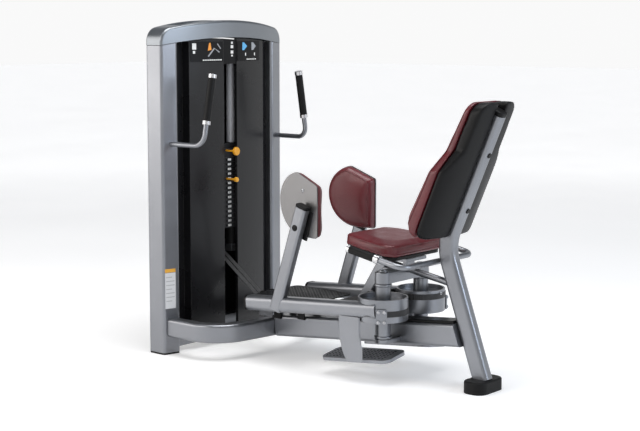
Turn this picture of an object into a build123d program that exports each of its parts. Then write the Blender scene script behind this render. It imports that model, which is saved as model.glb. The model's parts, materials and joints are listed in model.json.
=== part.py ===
"""Seated hip abduction machine: weight tower, inclined base frame, tilting seat and two pivoted thigh arms.

Frame: millimetres, origin on the floor at the centre of the footprint, +Z up.
The tower stands at -X, the back pad at +X. The seated user faces -X, so the user's left is -Y.
"""
import os
from math import atan2, cos, degrees, hypot, radians, sin, tan

from build123d import *

# ---------------------------------------------------------------- driving dimensions
TOWER_REAR = -826.0          # middle of the bulging rear panel
UPRIGHT_REAR = -807.0
TOWER_FRONT = -652.0         # middle of the bowed front line that the cap and uprights follow
FRONT_BOW_R = 1455.0
TOWER_HALF_WIDTH = 396.5
UPRIGHT_WIDTH = 88.0
TOWER_TOP = 1500.0
CAP_SEAM_Z = 1389.0          # cap joint at the outer faces
CAP_ARCH_Z = 1422.0          # cap joint at the middle of the arch
CAP_SEAM_GAP = 2.0
CAP_DROP = 43.0              # fall of the cap's crown from the middle to the sides
CAP_CORNER_R = 66.0
CAP_RIM_R = 14.0
TRAY_X = (-800.0, -700.0)
TRAY_HALF = 285.0
TRAY_DEPTH = 26.0
PLACARD_Z = (1312.0, 1404.0)
HEADER_Z = (1300.0, 1412.0)
UPRIGHT_CORNER_R = 15.0
FOOT_PAD_HEIGHT = 8.0
SLOT_FLANGE = 15.0
TUBE_WALL = 3.0
SHEET = 4.0

SHROUD_BOTTOM = 70.0
SHROUD_SETBACK = 12.0        # front shrouds lie this far behind the cap's front line
SHROUD_FOLD_Y = 245.0        # outside this, each shroud drops back to a flat strip
STRIP_X = -726.0
SLOT_HALF = 44.0             # half width of the opening between the front shrouds

STACK_X = -730.0             # centre line of the weight stack
PLATE_DEPTH = 76.0
PLATE_WIDTH = 280.0
PLATE_PITCH = 22.0
PLATE_GAP = 0.6
PLATE_COUNT = 15
LIFTED_COUNT = 5             # plates above the selector pin
STACK_BOTTOM = 537.0
GUIDE_ROD_Y = 69.0
GUIDE_ROD_R = 20.0
GUIDE_HOLE_R = 21.0
SELECTOR_ROD_R = 11.0
ROD_FOOT_Z = 454.0
ROD_TOP_Z = 1350.0
PIN_R = 4.5
KNOB_X = -622.0

BEAM_FRONT_X = -345.0
BEAM_BOTTOM_Z = 80.0         # underside of the beam at its front end
BEAM_SLOPE = 5.3             # degrees, rising to the rear
BEAM_WIDTH = 100.0
BEAM_HEIGHT = 95.0
BEAM_LENGTH = 1100.0         # before its rear end is trimmed to the upright
BOW_WIDTH = 62.0
BOW_HEIGHT = 84.0
BOW_Y = 349.0                # centre line of the loop where it meets the uprights

UPRIGHT_FOOT = (736.0, 40.0)     # rear upright centre line, (x, z)
UPRIGHT_BEND = (547.0, 578.0)
UPRIGHT_HEAD = (784.5, 1128.0)
REAR_TUBE_DEPTH = 76.0
REAR_TUBE_WIDTH = 55.0

PIVOT_X = 326.0
PIVOT_Y = 132.7
SHAFT_R = 12.5
RUNNING_CLEARANCE = 0.05
HUB_R = 32.0
HUB_Z = (180.0, 413.0)
LOWER_EAR_Z = (163.0, 178.5)
YOKE_Z = (414.5, 462.0)
DRUM_R = 105.0
DRUM_Z = (263.0, 358.0)
BELT_WIDTH = 24.0
BELT_THICK = 2.5
LEFT_BELT_Z = 301.0          # centre height of each arm belt: they cross, so they differ
RIGHT_BELT_Z = 334.0
CLAMP_ANGLE = 56.0           # degrees from the rear towards the outside

ARM_Y = 208.0
ARM_WIDTH = 70.0
ARM_HEIGHT = 66.0
ARM_TIP_X = -350.0
ARM_END_X = 364.0
ARM_SLOPE = 4.3              # degrees, rising to the pivot
ARM_PIVOT_Z = 311.0          # arm centre line height at the pivot
POST_Y = 224.5               # leaning post that carries the knee pad
POST_SIZE = (60.0, 40.0)
POST_LEAN = 18.2             # degrees to the rear
POST_BASE = (-184.0, 250.0)  # (x, z)
POST_TOP_Z = 705.0
KNEE_RAIL_Z = 570.0          # foot of the rail between the post and the pad

PAD_TOE_IN = 7.5             # degrees, front edges of the knee pads closer together
PAD_REAR_X = 30.0
PAD_PLATE_Y = 205.0          # outer face of the pad's plate at its rear edge
PAD_PLATE_THICK = 5.0
PAD_CUSHION_THICK = 48.0

SEAT_CENTRE = (268.0, 540.0)     # (x, z) of the middle of the cushion's underside
SEAT_HALF_LENGTH = 148.0
SEAT_HALF_WIDTHS = (138.0, 207.0)    # at the front and at the rear
SEAT_TILT = 5.0
SEAT_THICK = 58.0
BACK_TOP_Z = 1180.0
BACK_BOTTOM_Z = 612.0
BACK_FRONT = ((505.0, 618.0), (488.0, 652.0), (488.0, 716.0), (729.0, 1180.0))   # (x, z) up the front
BACK_GAP = 9.0               # from the cushion's rear face to the upright
BACK_SHELL_HALF = 197.0
BACK_SHELL_DEPTH = 62.0

HANDLE_R = 12.5
GRIP_R = 17.0
COLLAR_R = 18.5

SIDES = {"left": -1, "right": 1}


# ---------------------------------------------------------------- helpers
def block(x, y, z):
    """Box between the two limits given on each axis."""
    size = Box(x[1] - x[0], y[1] - y[0], z[1] - z[0])
    return Pos((x[0] + x[1]) / 2, (y[0] + y[1]) / 2, (z[0] + z[1]) / 2) * size


def mirrored(y_from, y_to, side):
    """Y limits on one side of the machine, lowest first."""
    return tuple(sorted((side * y_from, side * y_to)))


def rod(start, end, radius):
    """Round bar between two points."""
    span = Vector(*end) - Vector(*start)
    bar = Cylinder(radius, span.length, align=(Align.CENTER, Align.CENTER, Align.MIN))
    return Plane(origin=start, z_dir=span) * bar


def ring(centre, radius, bore, height):
    """Upright ring standing on its centre point."""
    stand = (Align.CENTER, Align.CENTER, Align.MIN)
    return Pos(*centre) * (Cylinder(radius, height, align=stand) - Cylinder(bore, height, align=stand))


def hollow_section(width, height, corner, wall=TUBE_WALL):
    """Rounded rectangular tube section."""
    bore = RectangleRounded(width - 2 * wall, height - 2 * wall, max(corner - wall, 1.0))
    return RectangleRounded(width, height, corner) - bore


def bent(points, radius, section, across=(0, 1, 0)):
    """Section carried along straight runs joined by bends."""
    path = FilletPolyline(*points, radius=radius) if len(points) > 2 else Line(*points)
    start = Plane(origin=path @ 0, x_dir=across, z_dir=path % 0)
    return sweep(start * section, path=path)


def write(name, *pieces):
    """Write one node, made of one or more separate solids."""
    solids = [solid for piece in pieces for solid in piece.solids()]
    shape = solids[0] if len(solids) == 1 else Compound(children=solids)
    export_step(shape, f"parts/{name}.step")


# ---------------------------------------------------------------- weight tower
def front_line(y, setback=0.0):
    """X of the tower's bowed front line at y."""
    return TOWER_FRONT - setback - FRONT_BOW_R + (FRONT_BOW_R ** 2 - y ** 2) ** 0.5


def tower_plan(inset=0.0):
    """Outline of the tower seen from above, with its bowed front and rear."""
    half = TOWER_HALF_WIDTH - inset
    front_x = front_line(half) - inset
    rear_x = UPRIGHT_REAR + inset
    return make_face([
        ThreePointArc((front_x, -half), (TOWER_FRONT - inset, 0), (front_x, half)),
        Line((front_x, half), (rear_x, half)),
        ThreePointArc((rear_x, half), (TOWER_REAR + inset, 0), (rear_x, -half)),
        Line((rear_x, -half), (front_x, -half)),
    ])


def below_cap(gap=0.0):
    """Region under the arched joint between the cap and the uprights."""
    half = TOWER_HALF_WIDTH + 5
    edge_z = CAP_SEAM_Z - CAP_SEAM_GAP - 0.7 - gap
    outline = Polyline((half, edge_z), (half, 0), (-half, 0), (-half, edge_z))
    arch = ThreePointArc((-half, edge_z), (0, CAP_ARCH_Z - CAP_SEAM_GAP - gap), (half, edge_z))
    face = make_face([*outline.edges(), *arch.edges()])
    return Pos(TOWER_REAR - 5, 0, 0) * extrude(Plane.YZ * face, 20 + TOWER_FRONT - TOWER_REAR)


def upright_plan(side, inset=0.0):
    """Outline of one upright seen from above; its front face follows the tower's bow."""
    outer, inner = TOWER_HALF_WIDTH - inset, TOWER_HALF_WIDTH - UPRIGHT_WIDTH + inset
    rear = UPRIGHT_REAR + inset
    front = [(front_line(outer) - inset, outer), (front_line(inner) - inset, inner)]
    corners = [(rear, outer), *front, (rear, inner)]
    face = make_face(Polyline(*[(x, side * y) for x, y in corners], close=True))
    return fillet(face.vertices(), UPRIGHT_CORNER_R - inset)


def tower_upright(side):
    """Upright tube, trimmed to the arch under the cap."""
    tube = extrude(upright_plan(side) - upright_plan(side, TUBE_WALL), TOWER_TOP)
    return (Pos(0, 0, FOOT_PAD_HEIGHT) * tube) & below_cap()


def upright_envelope(side):
    """Slightly enlarged upright, for fitting parts against it."""
    return extrude(upright_plan(side, -0.4), TOWER_TOP)


def tower_cap():
    """Arched cover over the tower, hollow underneath, with a shallow tray on top."""
    half = TOWER_HALF_WIDTH
    shoulder = TOWER_TOP - CAP_DROP
    sides = Polyline((half, CAP_SEAM_Z), (half, shoulder))
    crown = ThreePointArc((half, shoulder), (0, TOWER_TOP), (-half, shoulder))
    other = Polyline((-half, shoulder), (-half, CAP_SEAM_Z))
    arch = ThreePointArc((-half, CAP_SEAM_Z), (0, CAP_ARCH_Z), (half, CAP_SEAM_Z))
    face = make_face([*sides.edges(), *crown.edges(), *other.edges(), *arch.edges()])
    corners = face.vertices().sort_by(Axis.Y)[-2:]
    face = fillet(corners, CAP_CORNER_R)
    depth = 20 + TOWER_FRONT - TOWER_REAR
    cap = Pos(TOWER_REAR - 10, 0, 0) * extrude(Plane.YZ * face, depth)
    cap &= extrude(tower_plan(), TOWER_TOP + 5)
    rims = [e for e in cap.edges() if e.center().Z > CAP_ARCH_Z and e.length > 60 and abs(e.center().Y) < 390]
    cap = fillet(rims, CAP_RIM_R)
    hollow = block((TOWER_REAR, TOWER_FRONT), (-320, 320), (CAP_SEAM_Z - 20, TOWER_TOP - 40))
    hollow += block((TOWER_REAR, TOWER_FRONT), (-376, 376), (CAP_SEAM_Z - 20, CAP_SEAM_Z + 30))
    cap -= hollow & extrude(tower_plan(CAP_RIM_R / 2), TOWER_TOP)
    tray = block((TRAY_X[0], TRAY_X[1]), (-TRAY_HALF, TRAY_HALF), (TOWER_TOP - TRAY_DEPTH, TOWER_TOP + 5))
    return cap - fillet(tray.edges().filter_by(Axis.Z), 14)


def shroud_outline(side, wall=0.0):
    """Plan points of one front shroud from the upright to the slot, at a depth in its wall."""
    inner = TOWER_HALF_WIDTH - UPRIGHT_WIDTH - 0.5
    fold_x = front_line(SHROUD_FOLD_Y, SHROUD_SETBACK) - wall
    slot_y = SLOT_HALF + wall
    strip = [(STRIP_X - wall, side * inner), (STRIP_X - wall, side * (SHROUD_FOLD_Y + 3 - wall))]
    fold = (fold_x, side * (SHROUD_FOLD_Y - wall))
    bulge = (front_line(150, SHROUD_SETBACK) - wall, side * 150)
    edge = (front_line(SLOT_HALF, SHROUD_SETBACK) - wall, side * slot_y)
    back = (front_line(SLOT_HALF, SHROUD_SETBACK) - SLOT_FLANGE, side * slot_y)
    return strip, fold, bulge, edge, back


def front_shroud(side):
    """Bowed cover with a recessed outer strip and a flange returned along the slot."""
    strip, fold, bulge, edge, back = shroud_outline(side)
    strip_in, fold_in, bulge_in, edge_in, back_in = shroud_outline(side, SHEET)
    edges = [
        *Polyline(strip[0], strip[1], fold).edges(),
        ThreePointArc(fold, bulge, edge),
        *Polyline(edge, back, back_in, edge_in).edges(),
        ThreePointArc(edge_in, bulge_in, fold_in),
        *Polyline(fold_in, strip_in[1], strip_in[0], strip[0]).edges(),
    ]
    shell = Pos(0, 0, SHROUD_BOTTOM) * extrude(make_face(edges), TOWER_TOP - SHROUD_BOTTOM)
    return shell & below_cap(3)


def rear_shroud():
    """Curved sheet that closes the rear of the tower between the uprights."""
    reach = TOWER_HALF_WIDTH - UPRIGHT_WIDTH - 0.5
    edges = [
        ThreePointArc((UPRIGHT_REAR, -reach), (TOWER_REAR, 0), (UPRIGHT_REAR, reach)),
        Line((UPRIGHT_REAR, reach), (UPRIGHT_REAR + SHEET, reach)),
        ThreePointArc((UPRIGHT_REAR + SHEET, reach), (TOWER_REAR + SHEET, 0), (UPRIGHT_REAR + SHEET, -reach)),
        Line((UPRIGHT_REAR + SHEET, -reach), (UPRIGHT_REAR, -reach)),
    ]
    return (Pos(0, 0, SHROUD_BOTTOM) * extrude(make_face(edges), TOWER_TOP - SHROUD_BOTTOM)) & below_cap(3)


def placards():
    """Two blank instruction panels on the shrouds and one in the head of the slot."""
    panels = []
    for side, outer in ((-1, 240), (1, 214)):
        y = [side * outer, side * (outer + SLOT_HALF + 4) / 2, side * (SLOT_HALF + 4)]
        front = [(front_line(v, SHROUD_SETBACK) + 2.6, v) for v in y]
        rear = [(x - 2.2, v) for x, v in front]
        edges = [
            ThreePointArc(*front),
            Line(front[2], rear[2]),
            ThreePointArc(rear[2], rear[1], rear[0]),
            Line(rear[0], front[0]),
        ]
        panels.append(Pos(0, 0, PLACARD_Z[0]) * extrude(make_face(edges), PLACARD_Z[1] - PLACARD_Z[0]))
    header_x = front_line(SLOT_HALF, SHROUD_SETBACK) - 3
    panels.append(block((header_x - 4, header_x), (0.5 - SLOT_HALF, SLOT_HALF - 0.5), HEADER_Z))
    return panels


def crossmembers():
    """Cross tubes, guide rod brackets and pulley cheeks that join the two uprights."""
    reach = TOWER_HALF_WIDTH - UPRIGHT_WIDTH
    along = (-reach, reach)
    rod_side = (GUIDE_ROD_Y - GUIDE_ROD_R - 5, GUIDE_ROD_Y + GUIDE_ROD_R + 5)
    top = block((-798, -734), along, (ROD_TOP_Z, ROD_TOP_Z + 34))
    top += block((-760, -706), (-rod_side[1], rod_side[1]), (ROD_TOP_Z, ROD_TOP_Z + 34))
    for side in SIDES.values():
        top += block((-790, -752), mirrored(40, 45, side), (TOP_PULLEY[1] - 20, ROD_TOP_Z + 2))
    pieces = [
        top,
        block((-798, -750), along, (60, 110)),
        block((-745, -712), along, (24, 60)),
    ]
    for side in SIDES.values():
        foot = block((-766, -734), mirrored(rod_side[0], reach, side), (ROD_FOOT_Z - 34, ROD_FOOT_Z))
        foot += block((-752, -706), mirrored(*rod_side, side), (ROD_FOOT_Z - 34, ROD_FOOT_Z))
        cheek = block((-792, -752), mirrored(33, 38, side), (ROD_FOOT_Z + 1, REAR_PULLEY[1] + 28))
        cheek += block((-792, -760), mirrored(34, reach, side), (ROD_FOOT_Z + 1, ROD_FOOT_Z + 13))
        pieces += [foot, cheek]
    return pieces


def guide_rods():
    """Two polished rods that the stack runs on."""
    rods = []
    for side in SIDES.values():
        y = side * GUIDE_ROD_Y
        rods.append(rod((STACK_X, y, ROD_FOOT_Z), (STACK_X, y, ROD_TOP_Z), GUIDE_ROD_R))
    return rods


def stack_bumpers():
    """Rubber rings round the guide rods under the stack."""
    height = STACK_BOTTOM - ROD_FOOT_Z - 0.6
    return [ring((STACK_X, side * GUIDE_ROD_Y, ROD_FOOT_Z + 0.2), GUIDE_ROD_R + 7, GUIDE_ROD_R, height)
            for side in SIDES.values()]


def weight_plate(level):
    """One plate with guide holes, a selector rod hole and a pin hole in its front edge."""
    low = STACK_BOTTOM + level * PLATE_PITCH
    high = low + PLATE_PITCH - PLATE_GAP
    half = PLATE_DEPTH / 2
    plate = block((STACK_X - half, STACK_X + half), (-PLATE_WIDTH / 2, PLATE_WIDTH / 2), (low, high))
    plate = fillet(plate.edges().filter_by(Axis.Z), 10)
    for y, radius in ((-GUIDE_ROD_Y, GUIDE_HOLE_R), (0, SELECTOR_ROD_R + 2), (GUIDE_ROD_Y, GUIDE_HOLE_R)):
        plate -= rod((STACK_X, y, low - 1), (STACK_X, y, high + 1), radius)
    middle = low + (PLATE_PITCH - PLATE_GAP) / 2
    return plate - rod((STACK_X, 0, middle), (STACK_X + half + 1, 0, middle), PIN_R + 0.6)


def pin_height():
    """Centre height of the selector pin, in the lowest lifted plate."""
    level = PLATE_COUNT - LIFTED_COUNT
    return STACK_BOTTOM + level * PLATE_PITCH + (PLATE_PITCH - PLATE_GAP) / 2


def stack_head():
    """Top block of the stack with its selector rod and belt anchor."""
    low = STACK_BOTTOM + PLATE_COUNT * PLATE_PITCH
    half = PLATE_DEPTH / 2
    head = block((STACK_X - half, STACK_X + half), (-PLATE_WIDTH / 2, PLATE_WIDTH / 2), (low, low + 40))
    head = fillet(head.edges().filter_by(Axis.Z), 10)
    bushing_y = (GUIDE_ROD_Y - GUIDE_ROD_R - 5, GUIDE_ROD_Y + GUIDE_ROD_R + 7)
    for side in SIDES.values():
        head += block((STACK_X - 26, STACK_X + 26), mirrored(*bushing_y, side), (low + 40, low + 66))
    head += block((STACK_X - 20, STACK_X + 26), (-45, 45), (low + 40, low + 62))
    for side in SIDES.values():
        y = side * GUIDE_ROD_Y
        head -= rod((STACK_X, y, low - 1), (STACK_X, y, low + 80), GUIDE_HOLE_R)
    knob_z = low + 32
    head -= rod((STACK_X + 10, 0, knob_z), (STACK_X + half + 1, 0, knob_z), PIN_R + 0.6)
    spine = rod((STACK_X, 0, STACK_BOTTOM + 6), (STACK_X, 0, low), SELECTOR_ROD_R)
    for level in range(PLATE_COUNT):
        z = STACK_BOTTOM + level * PLATE_PITCH + (PLATE_PITCH - PLATE_GAP) / 2
        spine -= rod((STACK_X - 12, 0, z), (STACK_X + 12, 0, z), PIN_R + 0.3)
    return [head + spine]


def pull_knob(z, depth, reach, radius):
    """Round knob on a pin that points into the stack."""
    pin = rod((reach, 0, z), (KNOB_X, 0, z), PIN_R)
    grip = rod((KNOB_X - depth, 0, z), (KNOB_X, 0, z), radius)
    grip = fillet(grip.edges(), 3)
    return pin + grip


# ---------------------------------------------------------------- belts and pulleys
TOP_PULLEY = (-765.0, 1300.0, 35.0)        # (x, z, radius)
REAR_PULLEY = (-772.0, 488.0, 28.0)
FRONT_PULLEY = (-436.0, 245.0, 28.0)
IDLER_R = 20.0
IDLER_X = PIVOT_X - DRUM_R - 2 * BELT_THICK - 0.4 - IDLER_R
IDLER_Y = 44.0
STACK_BELT_Y = 15.5
YOKE_BLOCK_X = (-140.0, -100.0)
YOKE_BLOCK_Z = 245.0


def pulley(x, z, radius, half_width=30.5):
    """Flat belt pulley on a cross axle, with rims either side of its tread."""
    body = rod((x, -half_width, z), (x, half_width, z), radius - BELT_THICK / 2 - 0.4)
    for side in SIDES.values():
        body += rod((x, side * half_width, z), (x, side * (half_width - 2), z), radius + 3)
    return body


def idler(side, z):
    """Small pulley on an upright pin, on the far side of the centre line from its drum."""
    low = z - BELT_WIDTH / 2 - 2
    return ring((IDLER_X, -side * IDLER_Y, low), IDLER_R - 0.4, 8 + RUNNING_CLEARANCE, BELT_WIDTH + 4)


def arm_belt_run(side, z):
    """Belt from the front of a drum across to its idler, then down to the yoke block."""
    low, high = z - BELT_WIDTH / 2, z + BELT_WIDTH / 2
    front = IDLER_X + IDLER_R
    run_y = IDLER_Y + IDLER_R
    across = block((front, front + BELT_THICK), mirrored(-IDLER_Y, PIVOT_Y, side), (low, high))
    turn = ring((IDLER_X, -side * IDLER_Y, low), IDLER_R + BELT_THICK, IDLER_R, BELT_WIDTH)
    turn = turn & block((IDLER_X, IDLER_X + 60), mirrored(-IDLER_Y - 60, -IDLER_Y, side), (low - 1, high + 1))
    end_x, end_z = YOKE_BLOCK_X[1] + 0.1, YOKE_BLOCK_Z
    half = BELT_WIDTH / 2
    corners = [(IDLER_X, low), (IDLER_X, high), (end_x, end_z + half), (end_x, end_z - half)]
    outline = Polyline(*corners, close=True)
    y = mirrored(-run_y, -run_y - BELT_THICK, side)
    run = Pos(0, y[1], 0) * extrude(Plane.XZ * make_face(outline), y[1] - y[0])
    return across + turn + run


def yoke_block():
    """Steel block that joins the two arm belts to the two stack belts."""
    body = block(YOKE_BLOCK_X, (-78, 78), (YOKE_BLOCK_Z - 16, YOKE_BLOCK_Z + 16))
    return fillet(body.edges().filter_by(Axis.Z), 5)


def tangent_point(x, z, radius, angle):
    """Point on a pulley at an angle measured from +X towards +Z."""
    return (x + radius * cos(radians(angle)), z + radius * sin(radians(angle)))


def flat_belt(path, side):
    """Flat belt along a path drawn as (x, z), on one side of the centre plane."""
    route = Pos(0, side * STACK_BELT_Y, 0) * (Plane.XZ * path)
    section = Plane(origin=route @ 0, x_dir=(0, 1, 0), z_dir=route % 0) * Rectangle(BELT_WIDTH, BELT_THICK)
    return sweep(section, path=route, transition=Transition.RIGHT)


def stack_belt(side):
    """Belt from the yoke block, under the two low pulleys, up the tower and over the top pulley."""
    x1, z1, r1 = FRONT_PULLEY
    x2, z2, r2 = REAR_PULLEY
    x3, z3, r3 = TOP_PULLEY
    start = (YOKE_BLOCK_X[0] - 0.2, z1 - r1 + 9)
    run_in = degrees(atan2(9, start[0] - x1))
    climb = degrees(atan2(z2 - z1, x1 - x2))
    first = tangent_point(x1, z1, r1, 270 + run_in)
    under = tangent_point(x1, z1, r1, 270 + (run_in - climb) / 2)
    leave = tangent_point(x1, z1, r1, 270 - climb)
    arrive = tangent_point(x2, z2, r2, 270 - climb)
    behind = tangent_point(x2, z2, r2, 225 - climb / 2)
    return flat_belt(Wire([
        Line(start, first).edge(),
        ThreePointArc(first, under, leave).edge(),
        Line(leave, arrive).edge(),
        ThreePointArc(arrive, behind, (x2 - r2, z2)).edge(),
        Line((x2 - r2, z2), (x3 - r3, z3)).edge(),
        ThreePointArc((x3 - r3, z3), (x3, z3 + r3), (x3 + r3, z3)).edge(),
    ]), side)


def stack_belt_drop(side):
    """Straight length of belt that hangs from the top pulley to the stack head."""
    x, z, radius = TOP_PULLEY
    head_top = STACK_BOTTOM + PLATE_COUNT * PLATE_PITCH + 62.2
    y = side * STACK_BELT_Y
    width = (y - BELT_WIDTH / 2, y + BELT_WIDTH / 2)
    return block((x + radius - BELT_THICK / 2, x + radius + BELT_THICK / 2), width, (head_top, z - 0.1))


# ---------------------------------------------------------------- base frame
def beam_height(x):
    """Height of the beam's underside at x."""
    return BEAM_BOTTOM_Z + (x - BEAM_FRONT_X) * tan(radians(BEAM_SLOPE))


def rear_upright(section):
    """Bent upright that carries the seat brace and the back pad."""
    points = [(UPRIGHT_FOOT[0], 0, UPRIGHT_FOOT[1]), (UPRIGHT_BEND[0], 0, UPRIGHT_BEND[1]),
              (UPRIGHT_HEAD[0], 0, UPRIGHT_HEAD[1])]
    return bent(points, 200, section)


def behind_upright_face(gap):
    """Space behind a plane that lies a gap in front of the rear upright's lower length."""
    run = (UPRIGHT_BEND[0] - UPRIGHT_FOOT[0], UPRIGHT_BEND[1] - UPRIGHT_FOOT[1])
    length = hypot(*run)
    rearward = Vector(run[1] / length, 0, -run[0] / length)
    origin = Vector(UPRIGHT_FOOT[0], 0, UPRIGHT_FOOT[1]) - rearward * (REAR_TUBE_DEPTH / 2 + gap)
    return extrude(Plane(origin=origin, x_dir=(0, 1, 0), z_dir=rearward) * Rectangle(400, 1200), 600)


def main_beam():
    """Inclined rectangular tube from the bow to the rear upright, with a closing plate at its rear end."""
    slope = radians(BEAM_SLOPE)
    centre_z = BEAM_BOTTOM_Z + BEAM_HEIGHT / 2
    start = Plane(origin=(BEAM_FRONT_X - 4, 0, centre_z), x_dir=(0, 1, 0), z_dir=(cos(slope), 0, sin(slope)))
    outside = extrude(start * RectangleRounded(BEAM_WIDTH, BEAM_HEIGHT, 14), BEAM_LENGTH)
    tube = extrude(start * hollow_section(BEAM_WIDTH, BEAM_HEIGHT, 14), BEAM_LENGTH)
    closing_plate = (outside & behind_upright_face(SHEET)) - behind_upright_face(0)
    return (tube - behind_upright_face(0) + closing_plate) - bow(solid=True)


def beam_cover():
    """Black strip along the top of the beam, behind the drums."""
    slope = radians(BEAM_SLOPE)
    x = 232
    top = beam_height(x) + BEAM_HEIGHT / cos(slope)
    start = Plane(origin=(x, 0, top + 6.2), x_dir=(0, 1, 0), z_dir=(cos(slope), 0, sin(slope)))
    return extrude(start * RectangleRounded(84, 12, 4), 500) - behind_upright_face(0.3)


def bow(solid=False):
    """Flat loop of tube round the foot of the tower, open at the rear."""
    z = BEAM_BOTTOM_Z + BOW_HEIGHT / 2
    section = RectangleRounded(BOW_WIDTH, BOW_HEIGHT, 14)
    if not solid:
        section = hollow_section(BOW_WIDTH, BOW_HEIGHT, 14)
    front = front_line(BOW_Y) - 12
    points = [(front, -BOW_Y, z), (-424, -BOW_Y, z), (-376, 0, z), (-424, BOW_Y, z), (front, BOW_Y, z)]
    path = FilletPolyline(*points, radius=[150, 500, 150])
    start = Plane(origin=path @ 0, x_dir=(0, 1, 0), z_dir=path % 0)
    tube = sweep(start * section, path=path)
    for side in SIDES.values():
        tube -= upright_envelope(side)
    return tube.solids().sort_by(SortBy.VOLUME)[-1]


def rear_cap():
    """Black plug over the head of the rear upright."""
    run = (UPRIGHT_HEAD[0] - UPRIGHT_BEND[0], UPRIGHT_HEAD[1] - UPRIGHT_BEND[1])
    length = hypot(*run)
    along = (run[0] / length, 0, run[1] / length)
    start = Plane(origin=(UPRIGHT_HEAD[0], 0, UPRIGHT_HEAD[1]), x_dir=(0, 1, 0), z_dir=along)
    plug = extrude(start * RectangleRounded(REAR_TUBE_WIDTH + 2, REAR_TUBE_DEPTH + 2, 18), 20)
    return fillet(plug.faces().sort_by(Axis.Z)[-1].edges(), 7)


def hole_plugs():
    """Low domed plugs in the rear upright's rear face."""
    run = (UPRIGHT_HEAD[0] - UPRIGHT_BEND[0], UPRIGHT_HEAD[1] - UPRIGHT_BEND[1])
    length = hypot(*run)
    outward = Vector(run[1] / length, 0, -run[0] / length)
    plugs = []
    for share in (0.30, 0.72):
        centre = Vector(UPRIGHT_BEND[0] + share * run[0], 0, UPRIGHT_BEND[1] + share * run[1])
        face = Plane(origin=centre + outward * (REAR_TUBE_DEPTH / 2 + 0.1), x_dir=(0, 1, 0), z_dir=outward)
        plug = extrude(face * Circle(11), 4)
        plugs.append(fillet(plug.faces().sort_by(Axis.X)[-1].edges(), 2))
    return plugs


def rubber_feet():
    """Rear shoe and a thin pad under each tower upright."""
    shoe = Pos(736, 0, 0) * extrude(RectangleRounded(104, 180, 42), 50)
    shoe = fillet(shoe.faces().sort_by(Axis.Z)[-1].edges(), 8)
    shoe -= rear_upright(RectangleRounded(REAR_TUBE_WIDTH, REAR_TUBE_DEPTH, 18))
    return [shoe, *[extrude(upright_plan(side, 1), FOOT_PAD_HEIGHT) for side in SIDES.values()]]


def step_plate():
    """Textured plate between the arms over the belts, on four legs from the beam."""
    top = Pos(-225, 0, 276) * extrude(RectangleRounded(330, 300, 30), 6)
    for x in (-330, -190):
        for side in SIDES.values():
            leg_z = beam_height(x) + BEAM_HEIGHT / cos(radians(BEAM_SLOPE)) - 12
            top += block((x - 20, x + 20), mirrored(BEAM_WIDTH / 2, BEAM_WIDTH / 2 + 6, side), (leg_z, 277))
    return top


def pulley_mounts():
    """Cheeks for the front pulley, and upright pins on a plate for the two idlers."""
    x, z = FRONT_PULLEY[:2]
    top = beam_height(IDLER_X + 24) + BEAM_HEIGHT / cos(radians(BEAM_SLOPE)) + 0.2
    carrier = block((IDLER_X - 24, IDLER_X + 24), (-56, 56), (top, top + 8))
    for side in SIDES.values():
        carrier += rod((IDLER_X, side * IDLER_Y, top), (IDLER_X, side * IDLER_Y, 354), 8)
    pieces = [carrier]
    for side in SIDES.values():
        cheek = block((x - 20, x + 60), mirrored(34, 39, side), (BEAM_BOTTOM_Z + BOW_HEIGHT + 0.2, z + 18))
        pieces.append(cheek)
    return pieces


# ---------------------------------------------------------------- seat and back
def seat_plan(inset=0.0):
    """Seat outline seen from above, narrower towards the front."""
    long, front, rear = SEAT_HALF_LENGTH - inset, SEAT_HALF_WIDTHS[0] - inset, SEAT_HALF_WIDTHS[1] - inset
    face = make_face(Polyline((-long, -front), (long, -rear), (long, rear), (-long, front), close=True))
    corners = face.vertices().sort_by(Axis.X)
    face = fillet(corners[:2], 26)
    return fillet(face.vertices().sort_by(Axis.X)[-2:], 46)


def seat_frame_plane(height=0.0):
    """Plane of the tilted seat, raised by height along its normal."""
    tilt = Plane(origin=(SEAT_CENTRE[0], 0, SEAT_CENTRE[1])).rotated((0, SEAT_TILT, 0))
    return tilt.offset(height)


def seat_cushion():
    """Plain closed form of the seat cushion."""
    pad = extrude(seat_frame_plane() * seat_plan(), SEAT_THICK)
    top = pad.faces().sort_by(Axis.Z)[-1]
    return fillet(top.edges(), 12)


def seat_board():
    """Base board under the cushion."""
    return extrude(seat_frame_plane(-12.4) * seat_plan(12), 12)


def leaning_post():
    """Square post from the beam up to the seat, before its ends are trimmed."""
    return bent([(68, 0, 211), (282, 0, 551)], 0, RectangleRounded(48, 48, 8))


def seat_brace():
    """Round bar from the post to the rear upright, before its end is trimmed."""
    return rod((242, 0, 479), (600, 0, 418), 14)


def seat_post():
    """Leaning post from the beam to the seat, with a brace to the rear upright."""
    slope = radians(BEAM_SLOPE)
    post = leaning_post()
    post -= extrude(seat_frame_plane(-12.6) * Rectangle(600, 600), 60)
    floor = Plane(origin=(118, 0, beam_height(118) + BEAM_HEIGHT / cos(slope) + 0.2), x_dir=(0, 1, 0),
                  z_dir=(-sin(slope), 0, cos(slope)))
    post -= extrude(floor * Rectangle(300, 300), -60)
    saddle = block((322, 400), (-70, 70), (499, 512))
    stay = block((352, 368), (-30, 30), (462, 500))
    brace = seat_brace() - rear_upright(RectangleRounded(REAR_TUBE_WIDTH, REAR_TUBE_DEPTH, 18))
    return post + saddle + stay + brace


def handle_rail(x_front, x_rear, y, z_front, z_rear):
    """Corner points of the seat's hand rail, which passes behind the cushion."""
    return [(x_front, -y, z_front), (x_rear, -y, z_rear), (x_rear, y, z_rear), (x_front, y, z_front)]


SEAT_RAIL = handle_rail(248, 512, 250, 560, 508)


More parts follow.
